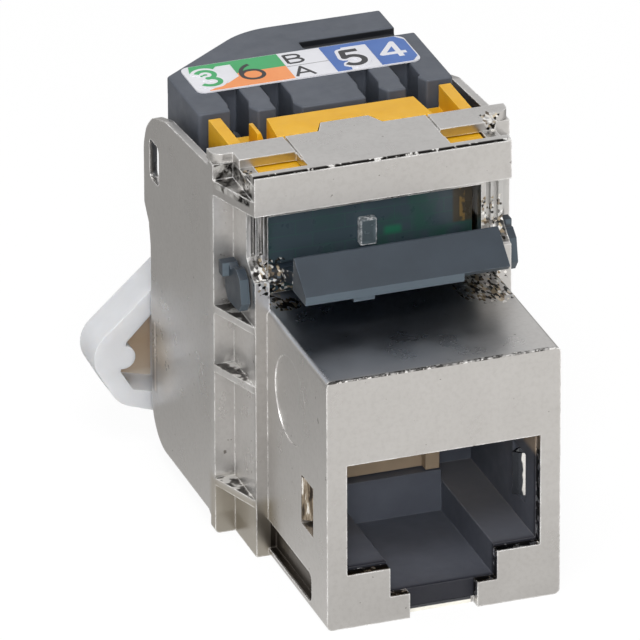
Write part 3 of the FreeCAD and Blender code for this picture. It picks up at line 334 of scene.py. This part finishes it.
def nickel_ground(tree, pebbles, blotches, scoop_reflection):
    """The satin skin, with a few pits, painted shade in the inner corners and a painted brown reflection of
    the lever's scoop on the cheek.
    """
    tone = ramp(tree, blotches, [(0.3, (0.60, 0.585, 0.57)), (0.7, (0.66, 0.645, 0.63))])
    mottle = ramp(tree, pebbles, [(0.34, (0.94, 0.938, 0.935)), (0.55, (1.0, 1.0, 1.0))])
    colour = mix(tree, 1.0, tone, mottle, "MULTIPLY")
    pits = span(tree, noise(tree, 0.42, 2, 0.5), 0.0, 0.8, 0.73, 0.755)
    off_scoop_reflection = span(tree, near(tree, SCOOP_REFLECTION_SPOT, 5.0, 0.4), 1.0, 0.0)
    colour = mix(tree, times(tree, pits, off_scoop_reflection), colour, (0.16, 0.14, 0.12))
    # Painted shade in the inner corners, darker where a point is more hidden by the walls around it
    corners = times(tree, cavity(tree, 1.5, 0.22, 0.47), ragged(tree))
    colour = mix(tree, corners, colour, (0.04, 0.037, 0.035))
    # Painted brown reflection of the scoop on the cheek
    return mix(tree, times(tree, scoop_reflection, 0.9), colour, (0.40, 0.345, 0.28))


def nickel_tints(tree, colour, right_jamb):
    """Brownish toes, a painted reflection of the slate latch on the deck that clears towards its right and
    its back, and a plain right jamb.
    """
    toes = zone(tree, 0.6, **TOES)
    colour = mix(tree, times(tree, toes, 0.8), colour, (0.46, 0.42, 0.35))
    # Painted reflection of the dark latch on the deck, paler towards the right and towards the back
    leftward = span(tree, axis(tree, "X"), 1.0, 0.0, -1.0 * MM, 6.0 * MM)
    deck_reflection = times(tree, zone(tree, 0.3, **DECK), facing_up(tree), leftward)
    depth = span(tree, axis(tree, "Y"), 0.0, 1.0, 5.0 * MM, 9.5 * MM)
    slate = mix(tree, depth, (0.46, 0.485, 0.54), (0.78, 0.82, 0.90))
    colour = mix(tree, times(tree, deck_reflection, 0.85), colour, slate)
    return mix(tree, right_jamb, colour, (0.64, 0.63, 0.61))


def nickel_smears(tree, colour):
    """Painted reflections, highlights and shade in black and white patches on the corner ribs, the left jamb
    and the hollow, and sprinkled painted glints.
    """
    # Painted reflection and shade in black and white patches, for the tops of the corner ribs and for the
    # hollow
    reflection_and_shade_patches = ramp(tree, noise(tree, 0.9, 2, 0.5), RIB_SHADES)
    for hand in (-1, 1):
        cells = zone(tree, x=sorted((6.9 * hand, 9.25 * hand)), y=(10.7, 14.6), z=(1.5, 22.6))
        colour = mix(tree, times(tree, cells, facing_up(tree), 0.9), colour, reflection_and_shade_patches)
    # Painted vertical highlights and shade, streaked down the left jamb
    jamb_highlights = ramp(tree, noise(tree, 0.28, 3, 0.6, stretch=(1, 1, 9)), JAMB_HIGHLIGHT_SHADES)
    jamb = zone(tree, 0.3, **LEFT_JAMB)
    colour = mix(tree, times(tree, jamb, 0.85), colour, jamb_highlights)
    # Painted shade and highlights in the corner hollow
    hollow = zone(tree, 0.1, **CORNER_HOLLOW)
    colour = mix(tree, times(tree, hollow, ragged(tree)), colour, reflection_and_shade_patches)
    # Painted glints sprinkled round SPARKLES
    return sprinkle(tree, colour)


def nickel_edge_highlights(tree, right_jamb):
    """Where painted highlights brighten edges and inner corners: unevenly, and hardly on the disc mark and
    the right jamb.
    """
    uneven = span(tree, noise(tree, 1.3, 3, 0.6), 0.35, 1.0, 0.38, 0.55)
    off_mark = span(tree, zone(tree, 0.3, **DISC_MARK), 1.0, 0.35)
    off_jamb = span(tree, right_jamb, 1.0, 0.3)
    return times(tree, edge_mask(tree, 0.17, 0.80, 0.96), times(tree, uneven, off_mark, off_jamb))


def nickel_lines(tree, colour, strip):
    """Chips on the sharp edges, painted shade in the side slots, a painted reflection and highlight line on
    the cheek, painted highlights and shade in dashes along the seams, and a strip at the mouth.
    """
    chips = span(tree, noise(tree, 0.42, 3, 0.7), 0.0, 1.0, 0.55, 0.59)
    sharp = edge_mask(tree, 0.10, 0.62, 0.85)
    colour = mix(tree, times(tree, sharp, chips), colour, (0.05, 0.04, 0.03))

    # Painted shade in the side slots
    for hand in (-1, 1):
        slot = zone(tree, 0.03, x=sorted((6.5 * hand, 7.1 * hand)), y=(0.5, 12.5), z=(0.4, 3.7))
        colour = mix(tree, slot, colour, (0.13, 0.115, 0.10))
    # A painted brown reflection of the scoop near the cheek's rear edge, with a painted highlight line down
    # its middle
    tan_reflection_band = zone(tree, 0.15, x=CHEEK_X, y=(LINE_Y - 0.3, LINE_Y + 0.3), z=LINE_Z)
    colour = mix(tree, times(tree, tan_reflection_band, 0.4), colour, (0.16, 0.12, 0.09))
    edge_highlight_line = zone(tree, 0.06, x=CHEEK_X, y=(LINE_Y - 0.13, LINE_Y + 0.13), z=LINE_Z)
    colour = mix(tree, times(tree, edge_highlight_line, 0.8), colour, (0.80, 0.74, 0.67))

    # Painted highlights and shade in dashes along the seam under the cap, the sill, the brow and the deck's
    # lip
    seam_highlights_and_shade = ramp(tree, noise(tree, 0.45, 2, 0.6), SEAM_HIGHLIGHT_SHADES)
    broken = span(tree, noise(tree, 0.9, 3, 0.7), 0.1, 0.95, 0.40, 0.52)
    seams = [
        zone(tree, 0.06, y=(SEAM_Y - 0.09, SEAM_Y + 0.06), z=(24.35, 25.0)),
        zone(tree, 0.06, **SILL),
        times(tree, zone(tree, 0.03, **BROW), 0.8),
        times(tree, zone(tree, 0.03, **DECK_LIP), broken),
    ]
    for seam in seams:
        colour = mix(tree, seam, colour, seam_highlights_and_shade)
    cream = span(tree, axis(tree, "Z"), 0.0, 1.0, 0.25 * MM, 0.20 * MM)
    return mix(tree, strip, colour, mix(tree, cream, (0.05, 0.052, 0.06), (1.0, 0.97, 0.88)))


def cast_metal(name):
    """Nickel plate over a casting, less like a mirror under the painted edge highlights and the painted
    reflection of the scoop, on the mouth strip, in the left cells and on the right jamb.
    """
    made, tree, shader = new_material(name)
    pebbles = noise(tree, 0.3, 4, 0.6)
    blotches = noise(tree, 2.6, 4, 0.6)
    scoop_reflection = near(tree, SCOOP_REFLECTION_SPOT, 3.2, 0.8)
    right_jamb = zone(tree, 0.2, **RIGHT_JAMB)
    strip = zone(tree, 0.03, **MOUTH_STRIP)
    edge_highlight = nickel_edge_highlights(tree, right_jamb)

    colour = nickel_ground(tree, pebbles, blotches, scoop_reflection)
    colour = nickel_tints(tree, colour, right_jamb)
    colour = nickel_smears(tree, colour)
    # Painted highlights on the edges and inner corners
    colour = mix(tree, edge_highlight, colour, (0.98, 0.97, 0.95))
    colour = nickel_lines(tree, colour, strip)
    tree.links.new(colour, shader.inputs["Base Color"])

    cells = times(tree, zone(tree, 0.3, **LEFT_CELLS), 0.28)
    matt = most(tree, edge_highlight, times(tree, scoop_reflection, 0.8), strip, cells, times(tree, right_jamb, 0.8))
    tree.links.new(span(tree, matt, 1.0, 0.15), shader.inputs["Metallic"])
    tree.links.new(span(tree, blotches, 0.26, 0.34, 0.3, 0.7), shader.inputs["Roughness"])
    bump(tree, shader, pebbles, span(tree, scoop_reflection, 0.16, 0.0), 0.012)
    return made


# Other metals


def sheet_metal(name, colour, rough):
    made, tree, shader = new_material(name)
    streaks = noise(tree, 0.5, 3, 0.6)
    pale = tuple(min(1.0, c * 1.08) for c in colour)
    dim = tuple(c * 0.86 for c in colour)
    tree.links.new(ramp(tree, streaks, [(0.3, dim), (0.7, pale)]), shader.inputs["Base Color"])
    shader.inputs["Metallic"].default_value = 1.0
    tree.links.new(span(tree, streaks, rough * 0.8, rough * 1.25, 0.3, 0.7), shader.inputs["Roughness"])
    return made


def polished_leaf(name):
    """Polished spring steel in long streaks, brown to white, and a right leaf painted near black with a
    painted highlight along a white sliver.
    """
    made, tree, shader = new_material(name)
    streaks = noise(tree, 0.30, 3, 0.65, stretch=(1, 1, 7))
    skin = ramp(tree, streaks, LEAF_SHADES)
    right_leaf = span(tree, axis(tree, "X"), 0.0, 1.0, 0.0, 1 * MM)
    waver = span(tree, noise(tree, 0.9, 1), -0.04 * MM, 0.04 * MM, 0.35, 0.65)
    wavy = combine(tree, "ADD", axis(tree, "Y"), waver)
    # Painted highlight along the front of the right leaf
    sliver_highlight = span(tree, wavy, 1.0, 0.0, 3.06 * MM, 3.09 * MM)
    skin = mix(tree, right_leaf, skin, mix(tree, sliver_highlight, (0.05, 0.055, 0.065), (1.0, 0.98, 0.95)))
    tree.links.new(skin, shader.inputs["Base Color"])
    shader.inputs["Metallic"].default_value = 0.85
    tree.links.new(span(tree, streaks, 0.14, 0.30, 0.3, 0.7), shader.inputs["Roughness"])
    return made


# Plastics and the board


def plastic(name, dark, light, rough=(0.38, 0.52), grain_mm=0.12, grain=0.25, blotch_mm=2.5, edge_highlight_colour=None):
    """Moulded plastic: faint blotches in the colour, a fine grain, an uneven sheen and, where asked, painted
    highlights on its edges.
    """
    made, tree, shader = new_material(name)
    skin = ramp(tree, noise(tree, blotch_mm, 4, 0.6), [(0.3, dark), (0.7, light)])
    if edge_highlight_colour:
        # Painted highlights on the edges, patchy
        patchy = span(tree, noise(tree, 0.8, 3), 0.1, 0.75, 0.4, 0.6)
        skin = mix(tree, times(tree, edge_mask(tree, 0.12, 0.80, 0.97), patchy), skin, edge_highlight_colour)
    tree.links.new(skin, shader.inputs["Base Color"])
    tree.links.new(span(tree, noise(tree, blotch_mm * 0.4, 3), *rough, 0.3, 0.7), shader.inputs["Roughness"])
    bump(tree, shader, noise(tree, grain_mm, 3, 0.6), grain, 0.02)
    return made


def port_plastic(name):
    """Plastic of the port: paler towards the back and on the far right shelf with painted light, with a
    painted brown sheen in a top corner and painted highlights on its edges.
    """
    made = plastic(name, (0.045, 0.050, 0.064), (0.056, 0.062, 0.078), rough=(0.45, 0.6))
    tree, shader, skin = opened(made)
    # Painted light, paler towards the back, so that the inside looks evenly lit
    depth = ramp(tree, span(tree, axis(tree, "Y"), 0.0, 1.0, 0.0, 11 * MM), PORT_FILL_LIGHT_SHADES)
    skin = mix(tree, 1.0, skin, depth, "MULTIPLY")
    skin = mix(tree, zone(tree, 0.04, **WELL_RIM), skin, (0.42, 0.32, 0.22))
    # Painted light on the far part of the right shelf
    far = span(tree, axis(tree, "Y"), 0.15, 0.75, 2 * MM, 7 * MM)
    lit_shelf = times(tree, zone(tree, 0.1, **PORT_SHELF), facing_up(tree), far)
    skin = mix(tree, lit_shelf, skin, (0.185, 0.185, 0.20))
    # A painted brown sheen in the top right corner of the mouth
    corner = zone(tree, 0.4, **PORT_CORNER)
    skin = mix(tree, times(tree, corner, 0.8), skin, (0.36, 0.28, 0.21))
    # Painted highlights on the edges
    edge_highlight = times(tree, edge_mask(tree, 0.07, 0.85, 0.98), 0.8)
    tree.links.new(mix(tree, edge_highlight, skin, (0.40, 0.38, 0.36)), shader.inputs["Base Color"])
    return made


def holder_plastic(name):
    """Plastic of the wire holder, with painted shade in the groove under the front edge of its hood."""
    edge_highlight_colour = (0.20, 0.22, 0.26)
    made = plastic(name, (0.070, 0.080, 0.100), (0.090, 0.101, 0.125), rough=(0.42, 0.56), edge_highlight_colour=edge_highlight_colour)
    tree, shader, skin = opened(made)
    # Painted shade, near black, in the groove under the hood's front edge
    groove_shade = zone(tree, 0.03, **HOOD_GROOVE)
    tree.links.new(mix(tree, groove_shade, skin, (0.008, 0.009, 0.012)), shader.inputs["Base Color"])
    return made


def latch_plastic(name):
    """Plastic of the latch: painted light makes the lip under its ramp paler, and its hidden rod has painted
    glints sprinkled on it.
    """
    made = plastic(name, (0.015, 0.024, 0.035), (0.022, 0.033, 0.047), edge_highlight_colour=(0.10, 0.13, 0.16))
    tree, shader, skin = opened(made)
    # Painted light on the faces under the ramp that look forward
    forward = span(tree, facing(tree, "Y"), 1.0, 0.0, -0.85, -0.6)
    not_up = span(tree, facing(tree, "Z"), 1.0, 0.0, 0.1, 0.35)
    skin = mix(tree, times(tree, forward, not_up, 0.9), skin, (0.10, 0.13, 0.155))
    # Painted glints on the hidden rod
    tree.links.new(sprinkle(tree, skin, LATCH_ROD), shader.inputs["Base Color"])
    return made


def milky_plastic(name):
    """Milky plastic, with painted warm shade on the floor of the scoop in its front, and painted light
    making it pale again at its foot.
    """
    dark, light = (0.62, 0.63, 0.65), (0.68, 0.69, 0.71)
    made = plastic(name, dark, light, rough=(0.3, 0.42), grain_mm=0.3, grain=0.12, blotch_mm=3.0)
    tree, shader, skin = opened(made)
    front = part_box("lever")[0][1]
    behind = span(tree, axis(tree, "Y"), 0.0, 1.0, front + 0.3 * MM, front + 1.2 * MM)
    outward = span(tree, axis(tree, "X"), 1.0, 0.0, -6.5 * MM, -5.0 * MM)
    forward = span(tree, facing(tree, "Y"), 1.0, 0.0, -0.9, -0.6)
    # Painted warm shade inside the scoop, lighter again at its foot
    scoop_shade = times(tree, behind, outward, forward)
    tan = ramp(tree, span(tree, axis(tree, "Z"), 0.0, 1.0, 2.8 * MM, 8.0 * MM), SCOOP_SHADE_RAMP)
    tree.links.new(mix(tree, scoop_shade, skin, tan), shader.inputs["Base Color"])
    shader.inputs["Subsurface Weight"].default_value = 0.6
    shader.inputs["Subsurface Radius"].default_value = (1.0, 0.9, 0.8)
    shader.inputs["Subsurface Scale"].default_value = 1.2 * MM
    return made


def clear_plastic(name):
    """Clear plastic with a broken white line of painted highlight round its front, which glows faintly."""
    made, tree, shader = new_material(name)
    (x0, _, z0), (x1, _, z1) = [[v / MM for v in corner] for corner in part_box("status_lamp")]
    rim_mm = 0.12
    inner = zone(tree, 0.04, x=(x0 + rim_mm, x1 - rim_mm), z=(z0 + rim_mm, z1 - rim_mm))
    patchy = span(tree, noise(tree, 0.25, 3, 0.7), 0.15, 0.9, 0.42, 0.62)
    # Painted highlight round the front, with a faint glow
    rim_highlight = times(tree, span(tree, inner, 1.0, 0.0), patchy)
    tree.links.new(mix(tree, rim_highlight, (0.20, 0.26, 0.29), (1.0, 1.0, 1.0)), shader.inputs["Base Color"])
    tree.links.new(span(tree, rim_highlight, 0.35, 0.0), shader.inputs["Transmission Weight"])
    tree.links.new(span(tree, rim_highlight, 0.0, 0.14), shader.inputs["Emission Strength"])
    shader.inputs["Emission Color"].default_value = (0.92, 0.95, 1.0, 1)
    shader.inputs["IOR"].default_value = 1.49
    tree.links.new(span(tree, noise(tree, 0.4, 3), 0.12, 0.3, 0.3, 0.7), shader.inputs["Roughness"])
    return made


def board_skin(name):
    """Solder mask over faint copper tracks, with a green field, a gold strip near its right end and painted
    glints.
    """
    made, tree, shader = new_material(name)
    tracks = node(tree, "ShaderNodeTexBrick", offset=0.35)
    tracks.inputs["Scale"].default_value = 1.0
    tracks.inputs["Brick Width"].default_value = 3.1 * MM
    tracks.inputs["Row Height"].default_value = 0.9 * MM
    tracks.inputs["Mortar Size"].default_value = 0.04 * MM
    tracks.inputs["Mortar Smooth"].default_value = 1.0
    tracks.inputs["Color1"].default_value = (0.066, 0.100, 0.122, 1)
    tracks.inputs["Color2"].default_value = (0.072, 0.106, 0.130, 1)
    tracks.inputs["Mortar"].default_value = (0.060, 0.140, 0.125, 1)
    upright = node(tree, "ShaderNodeMapping")
    upright.inputs["Rotation"].default_value = (math.radians(90), 0, 0)
    tree.links.new(point(tree), upright.inputs["Vector"])
    tree.links.new(upright.outputs["Vector"], tracks.inputs["Vector"])

    patches = span(tree, noise(tree, 2.2, 2), 0.0, 1.0, 0.5, 0.62)
    rightward = span(tree, axis(tree, "X"), 0.25, 0.9, -6 * MM, 5 * MM)
    skin = mix(tree, times(tree, patches, rightward, 0.7), tracks.outputs["Color"], (0.03, 0.13, 0.085))
    trace = zone(tree, 0.25, **BOARD_TRACE)
    skin = mix(tree, times(tree, trace, 0.8), skin, (0.03, 0.24, 0.13))
    end = zone(tree, 0.15, **BOARD_END)
    skin = mix(tree, times(tree, end, 0.9), skin, (0.10, 0.080, 0.055))
    dots = span(tree, noise(tree, 0.4, 2), 0.0, 0.8, 0.42, 0.58)
    strip = times(tree, zone(tree, 0.05, **BOARD_STRIP), end, dots)
    skin = mix(tree, strip, skin, (0.36, 0.23, 0.08))
    # Painted glints sprinkled round SPARKLES
    tree.links.new(sprinkle(tree, skin), shader.inputs["Base Color"])
    tree.links.new(span(tree, noise(tree, 1.0, 3), 0.25, 0.4, 0.3, 0.7), shader.inputs["Roughness"])
    return made


MATERIALS = {
    "cast_nickel": cast_metal("cast_nickel"),
    "dark_plastic": port_plastic("dark_plastic"),
    "tan_plastic": plastic("tan_plastic", (0.42, 0.32, 0.22), (0.52, 0.40, 0.28)),
    "gold_plate": sheet_metal("gold_plate", (0.86, 0.62, 0.26), rough=0.25),
    "tin_plate": sheet_metal("tin_plate", (0.72, 0.71, 0.70), rough=0.3),
    "spring_steel": polished_leaf("spring_steel"),
    "board_green": board_skin("board_green"),
    "clear_plastic": clear_plastic("clear_plastic"),
    "yellow_plastic": plastic(
        "yellow_plastic",
        (0.69, 0.355, 0.008),
        (0.79, 0.435, 0.015),
        rough=(0.36, 0.5),
        grain_mm=0.16,
        grain=0.35,
        edge_highlight_colour=(0.92, 0.64, 0.14),
    ),
    "grey_plastic": holder_plastic("grey_plastic"),
    "slate_plastic": latch_plastic("slate_plastic"),
    "milky_plastic": milky_plastic("milky_plastic"),
}
PRINTS = {
    "label_white": ((0.70, 0.70, 0.74), (0.78, 0.78, 0.82)),
    "label_green": ((0.030, 0.33, 0.10), (0.045, 0.38, 0.13)),
    "label_orange": ((0.82, 0.28, 0.085), (0.88, 0.33, 0.11)),
    "label_blue": ((0.050, 0.13, 0.40), (0.065, 0.16, 0.46)),
    "grey_print": ((0.30, 0.30, 0.31), (0.36, 0.36, 0.37)),
    "ink": ((0.012, 0.012, 0.014), (0.02, 0.02, 0.024)),
}
for name, (dark, light) in PRINTS.items():
    MATERIALS[name] = plastic(name, dark, light, rough=(0.3, 0.4), grain_mm=0.3, grain=0.05)

slot_of = {row["node"]: row["material_slot"] for row in frame["record"]["subparts"]}
for name, piece in frame["nodes"].items():
    piece.data.materials.clear()
    piece.data.materials.append(MATERIALS[slot_of[name]])


# Softened edges

EDGE_MM = {
    "front_housing": 0.12,
    "top_cap": 0.1,
    "port_liner": 0.06,
    "contact_carrier": 0.06,
    "circuit_board": 0.04,
    "status_lamp": 0.1,
    "contact_block": 0.1,
    "wire_holder": 0.16,
    "latch": 0.14,
    "lever": 0.8,
    "shield_clamp": 0.05,
}
WELD_MM = 0.002
FLAT_DEGREES = 0.5
SHARP_DEGREES = 32
ROUNDING_STEPS = 3


def soften(piece, width_mm):
    """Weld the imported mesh, merge its flat facets and round its edges."""
    for polygon in piece.data.polygons:
        polygon.use_smooth = True
    weld = piece.modifiers.new("weld", "WELD")
    weld.merge_threshold = WELD_MM * MM
    flat = piece.modifiers.new("flat", "DECIMATE")
    flat.decimate_type = "DISSOLVE"
    flat.angle_limit = math.radians(FLAT_DEGREES)
    rounding = piece.modifiers.new("rounding", "BEVEL")
    rounding.width = width_mm * MM
    rounding.segments = ROUNDING_STEPS
    rounding.limit_method = "ANGLE"
    rounding.angle_limit = math.radians(SHARP_DEGREES)
    rounding.miter_outer = "MITER_ARC"
    shade = piece.modifiers.new("shade", "WEIGHTED_NORMAL")
    shade.keep_sharp = True


for name, width in EDGE_MM.items():
    soften(frame["nodes"][name], width)


# Printed signs on the label


def arc(centre, radii, first, last, count=14):
    """Points along an oval arc, in degrees from the x axis."""
    spots = []
    for step in range(count + 1):
        angle = math.radians(first + (last - first) * step / count)
        spots.append((centre[0] + radii[0] * math.cos(angle), centre[1] + radii[1] * math.sin(angle)))
    return spots


# The strokes of each sign, in a frame that is 1 wide and 1 high
SIGNS = {
    "three": [arc((0.45, 0.74), (0.36, 0.26), 155, -90) + arc((0.45, 0.25), (0.40, 0.25), 90, -155)],
    "six": [
        arc((0.5, 0.30), (0.38, 0.30), 180, -180, 24),
        arc((0.80, 0.33), (0.68, 0.67), 180, 108),
    ],
    "letter_b": [
        [(0.12, 0.0), (0.12, 1.0)] + arc((0.5, 0.76), (0.28, 0.24), 90, -90) + [(0.12, 0.52)],
        [(0.12, 0.52)] + arc((0.52, 0.26), (0.32, 0.26), 90, -90) + [(0.12, 0.0)],
    ],
    "letter_a": [[(0.0, 0.0), (0.45, 1.0), (0.9, 0.0)], [(0.16, 0.34), (0.74, 0.34)]],
    "five": [[(0.82, 1.0), (0.22, 1.0), (0.16, 0.56)] + arc((0.45, 0.32), (0.40, 0.32), 130, -150)],
    "four": [[(0.68, 0.0), (0.68, 1.0), (0.04, 0.28), (0.95, 0.28)]],
    "divider": [[(-0.03, 0.5), (0.97, 0.5)]],
}
SIGN_MIDDLE = (0.47, 0.5)
CIRCLE = [2 * math.pi * i / 12 for i in range(12)]
INSIDE_ONLY = 1
JOIN_MM = 0.0001

PRINT_MM = 0.008
BASE_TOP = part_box("pin_label")[1][2] / MM
SIGN_FOOT = BASE_TOP - 0.01
ON_BASE = BASE_TOP + PRINT_MM
ON_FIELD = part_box("label_blue")[1][2] / MM + PRINT_MM
ON_RIM = ON_FIELD + PRINT_MM


def ribbon(points, width):
    """Outlines of a stroke of even width: one box for each step and a round one at each inner point."""
    half = width * 0.5
    outlines = []
    for a, b in zip(points, points[1:]):
        side = Vector((a.y - b.y, b.x - a.x)).normalized() * half
        outlines.append([a + side, a - side, b - side, b + side])
    for spot in points[1:-1]:
        outlines.append([spot + Vector((math.cos(t), math.sin(t))) * half for t in CIRCLE])
    return outlines


def joined_sheet(outlines, height_mm):
    """One flat mesh over all the outlines, which may overlap."""
    corners = [spot for outline in outlines for spot in outline]
    rings, first = [], 0
    for outline in outlines:
        rings.append(list(range(first, first + len(outline))))
        first += len(outline)
    joined, _, triangles, _, _, origins = delaunay_2d_cdt(corners, [], rings, INSIDE_ONLY, JOIN_MM)
    mesh = bmesh.new()
    spots = [mesh.verts.new((p.x * MM, p.y * MM, height_mm * MM)) for p in joined]
    for triangle, origin in zip(triangles, origins):
        if origin:
            mesh.faces.new([spots[i] for i in triangle])
    bmesh.ops.delete(mesh, geom=[v for v in mesh.verts if not v.link_faces], context="VERTS")
    return mesh


def sign(kind, place, size, width, material, top_mm, name=None):
    """Print one sign on the label, its middle at the place, and let it reach down into the base."""
    outlines = []
    for stroke in SIGNS[kind]:
        spots = []
        for u, v in stroke:
            x = place[0] + (u - SIGN_MIDDLE[0]) * size[0]
            y = place[1] + (v - SIGN_MIDDLE[1]) * size[1]
            spots.append(Vector((x, y)))
        outlines += ribbon(spots, width)
    mesh = joined_sheet(outlines, top_mm)
    drawn = bmesh.ops.extrude_face_region(mesh, geom=mesh.faces[:])
    lower = [part for part in drawn["geom"] if isinstance(part, bmesh.types.BMVert)]
    bmesh.ops.translate(mesh, verts=lower, vec=(0, 0, (SIGN_FOOT - top_mm) * MM))
    bmesh.ops.recalc_face_normals(mesh, faces=mesh.faces)

    data = bpy.data.meshes.new(name or kind)
    mesh.to_mesh(data)
    mesh.free()
    data.materials.append(MATERIALS[material])
    made = bpy.data.objects.new(name or kind, data)
    scene.collection.objects.link(made)
    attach(made, "holder")


sign("three", (-5.85, 24.85), (1.5, 2.05), 0.80, "label_white", ON_FIELD, "three_rim")
sign("three", (-5.85, 24.85), (1.5, 2.05), 0.32, "label_green", ON_RIM)
sign("six", (-3.22, 24.92), (1.75, 2.1), 0.25, "ink", ON_FIELD)
sign("letter_b", (-0.15, 25.85), (1.35, 1.15), 0.19, "ink", ON_BASE)
sign("divider", (0.40, 24.89), (2.68, 0.0), 0.07, "grey_print", ON_BASE)
sign("letter_a", (-0.13, 24.02), (1.3, 1.25), 0.19, "ink", ON_BASE)
sign("five", (3.2, 24.72), (1.6, 1.95), 0.80, "label_white", ON_FIELD, "five_rim")
sign("five", (3.2, 24.72), (1.6, 1.95), 0.37, "ink", ON_RIM)
sign("four", (5.72, 24.95), (1.65, 2.0), 0.33, "label_white", ON_FIELD)


# Camera

CAMERA_MM = Vector((-214.13621, -587.463798, 323.621049))
CAMERA_RIGHT = Vector((0.9428435, -0.33321799, -0.00345205))
CAMERA_UP = Vector((0.14883375, 0.41181279, 0.89903211))
CAMERA_BACK = Vector((-0.29815207, -0.84816036, 0.4378691))

camera_data = bpy.data.cameras.new("camera")
camera_data.lens = 675.0
camera_data.sensor_width = 36.0
camera_data.clip_start = 0.01
camera_data.clip_end = 10.0
camera = bpy.data.objects.new("camera", camera_data)
scene.collection.objects.link(camera)
turn = Matrix((CAMERA_RIGHT, CAMERA_UP, CAMERA_BACK)).transposed().to_4x4()
camera.matrix_world = Matrix.Translation(CAMERA_MM * MM) @ turn
scene.camera = camera


# Room and light

scene.view_settings.view_transform = "Standard"


def glow(tree, colour, strength, kind="ShaderNodeEmission"):
    """Light of one colour and strength, from a surface or from the world's background."""
    made = node(tree, kind)
    feed(tree, made.inputs["Color"], colour)
    feed(tree, made.inputs["Strength"], strength)
    return made.outputs[0]


def either(tree, fac, first, second):
    """The first shader where the factor is 0 and the second where it is 1."""
    made = node(tree, "ShaderNodeMixShader")
    for socket, value in zip(made.inputs, (fac, first, second)):
        tree.links.new(value, socket)
    return made.outputs[0]


world = bpy.data.worlds.new("room")
scene.world = world
world.use_nodes = True
tree = world.node_tree
tree.nodes.clear()
out = node(tree, "ShaderNodeOutputWorld")
path = node(tree, "ShaderNodeLightPath")
sky = node(tree, "ShaderNodeTexCoord")
height = span(tree, part_of(tree, sky.outputs["Generated"], "Z"), 0.0, 1.0, -1.0, 1.0)
strength = span(tree, path.outputs["Is Glossy Ray"], 0.60, 0.88)
room = glow(tree, ramp(tree, height, ROOM_SHADES), strength, "ShaderNodeBackground")
backdrop = glow(tree, (1.0, 1.0, 1.0), 1.0, "ShaderNodeBackground")
tree.links.new(either(tree, path.outputs["Is Camera Ray"], room, backdrop), out.inputs["Surface"])

LAMP_AIM = Vector((0.0, 0.014, 0.012))


def lamp(name, spot, size, energy, mirrored=True):
    """A round lamp that is aimed at the middle of the jack."""
    data = bpy.data.lights.new(name, "AREA")
    data.shape = "DISK"
    data.size = size
    data.energy = energy
    made = bpy.data.objects.new(name, data)
    scene.collection.objects.link(made)
    made.location = spot
    made.rotation_euler = (LAMP_AIM - Vector(spot)).to_track_quat("-Z", "Y").to_euler()
    made.visible_glossy = mirrored


lamp("key", (-0.06, -0.14, 0.30), 0.16, 0.45)
lamp("front", (-0.10, -0.29, 0.165), 0.10, 0.42, mirrored=False)
lamp("side", (-0.30, -0.05, 0.12), 0.12, 0.12, mirrored=False)


# Floor: white to the camera but for a soft shadow, and paler in mirrors towards the front

FLOOR_REACH = 1.5
FLOOR_DROP_MM = 0.02
SHADOW_KEPT = 0.10

floor_mesh = bpy.data.meshes.new("floor")
corners = [(x * FLOOR_REACH, y * FLOOR_REACH, 0) for x, y in ((-1, -1), (1, -1), (1, 1), (-1, 1))]
floor_mesh.from_pydata(corners, [], [(0, 1, 2, 3)])
floor = bpy.data.objects.new("floor", floor_mesh)
floor.location.z = -FLOOR_DROP_MM * MM
scene.collection.objects.link(floor)
made, tree, shader = new_material("floor")
shader.inputs["Base Color"].default_value = (0.80, 0.80, 0.80, 1)
shader.inputs["Roughness"].default_value = 0.9
shader.inputs["Specular IOR Level"].default_value = 0.0
path = node(tree, "ShaderNodeLightPath")
place = node(tree, "ShaderNodeNewGeometry")
ahead = span(tree, part_of(tree, place.outputs["Position"], "Y"), 0.94, 0.42, -0.020, 0.035)
mirrored = glow(tree, (1.0, 0.985, 0.96), ahead)
white = glow(tree, (1.0, 1.0, 1.0), 1.03)
seen = most(tree, path.outputs["Is Camera Ray"], path.outputs["Is Transmission Ray"])
surface = either(tree, path.outputs["Is Glossy Ray"], shader.outputs[0], mirrored)
surface = either(tree, times(tree, seen, 1 - SHADOW_KEPT), surface, white)
tree.links.new(surface, tree.nodes["Material Output"].inputs["Surface"])
floor_mesh.materials.append(made)
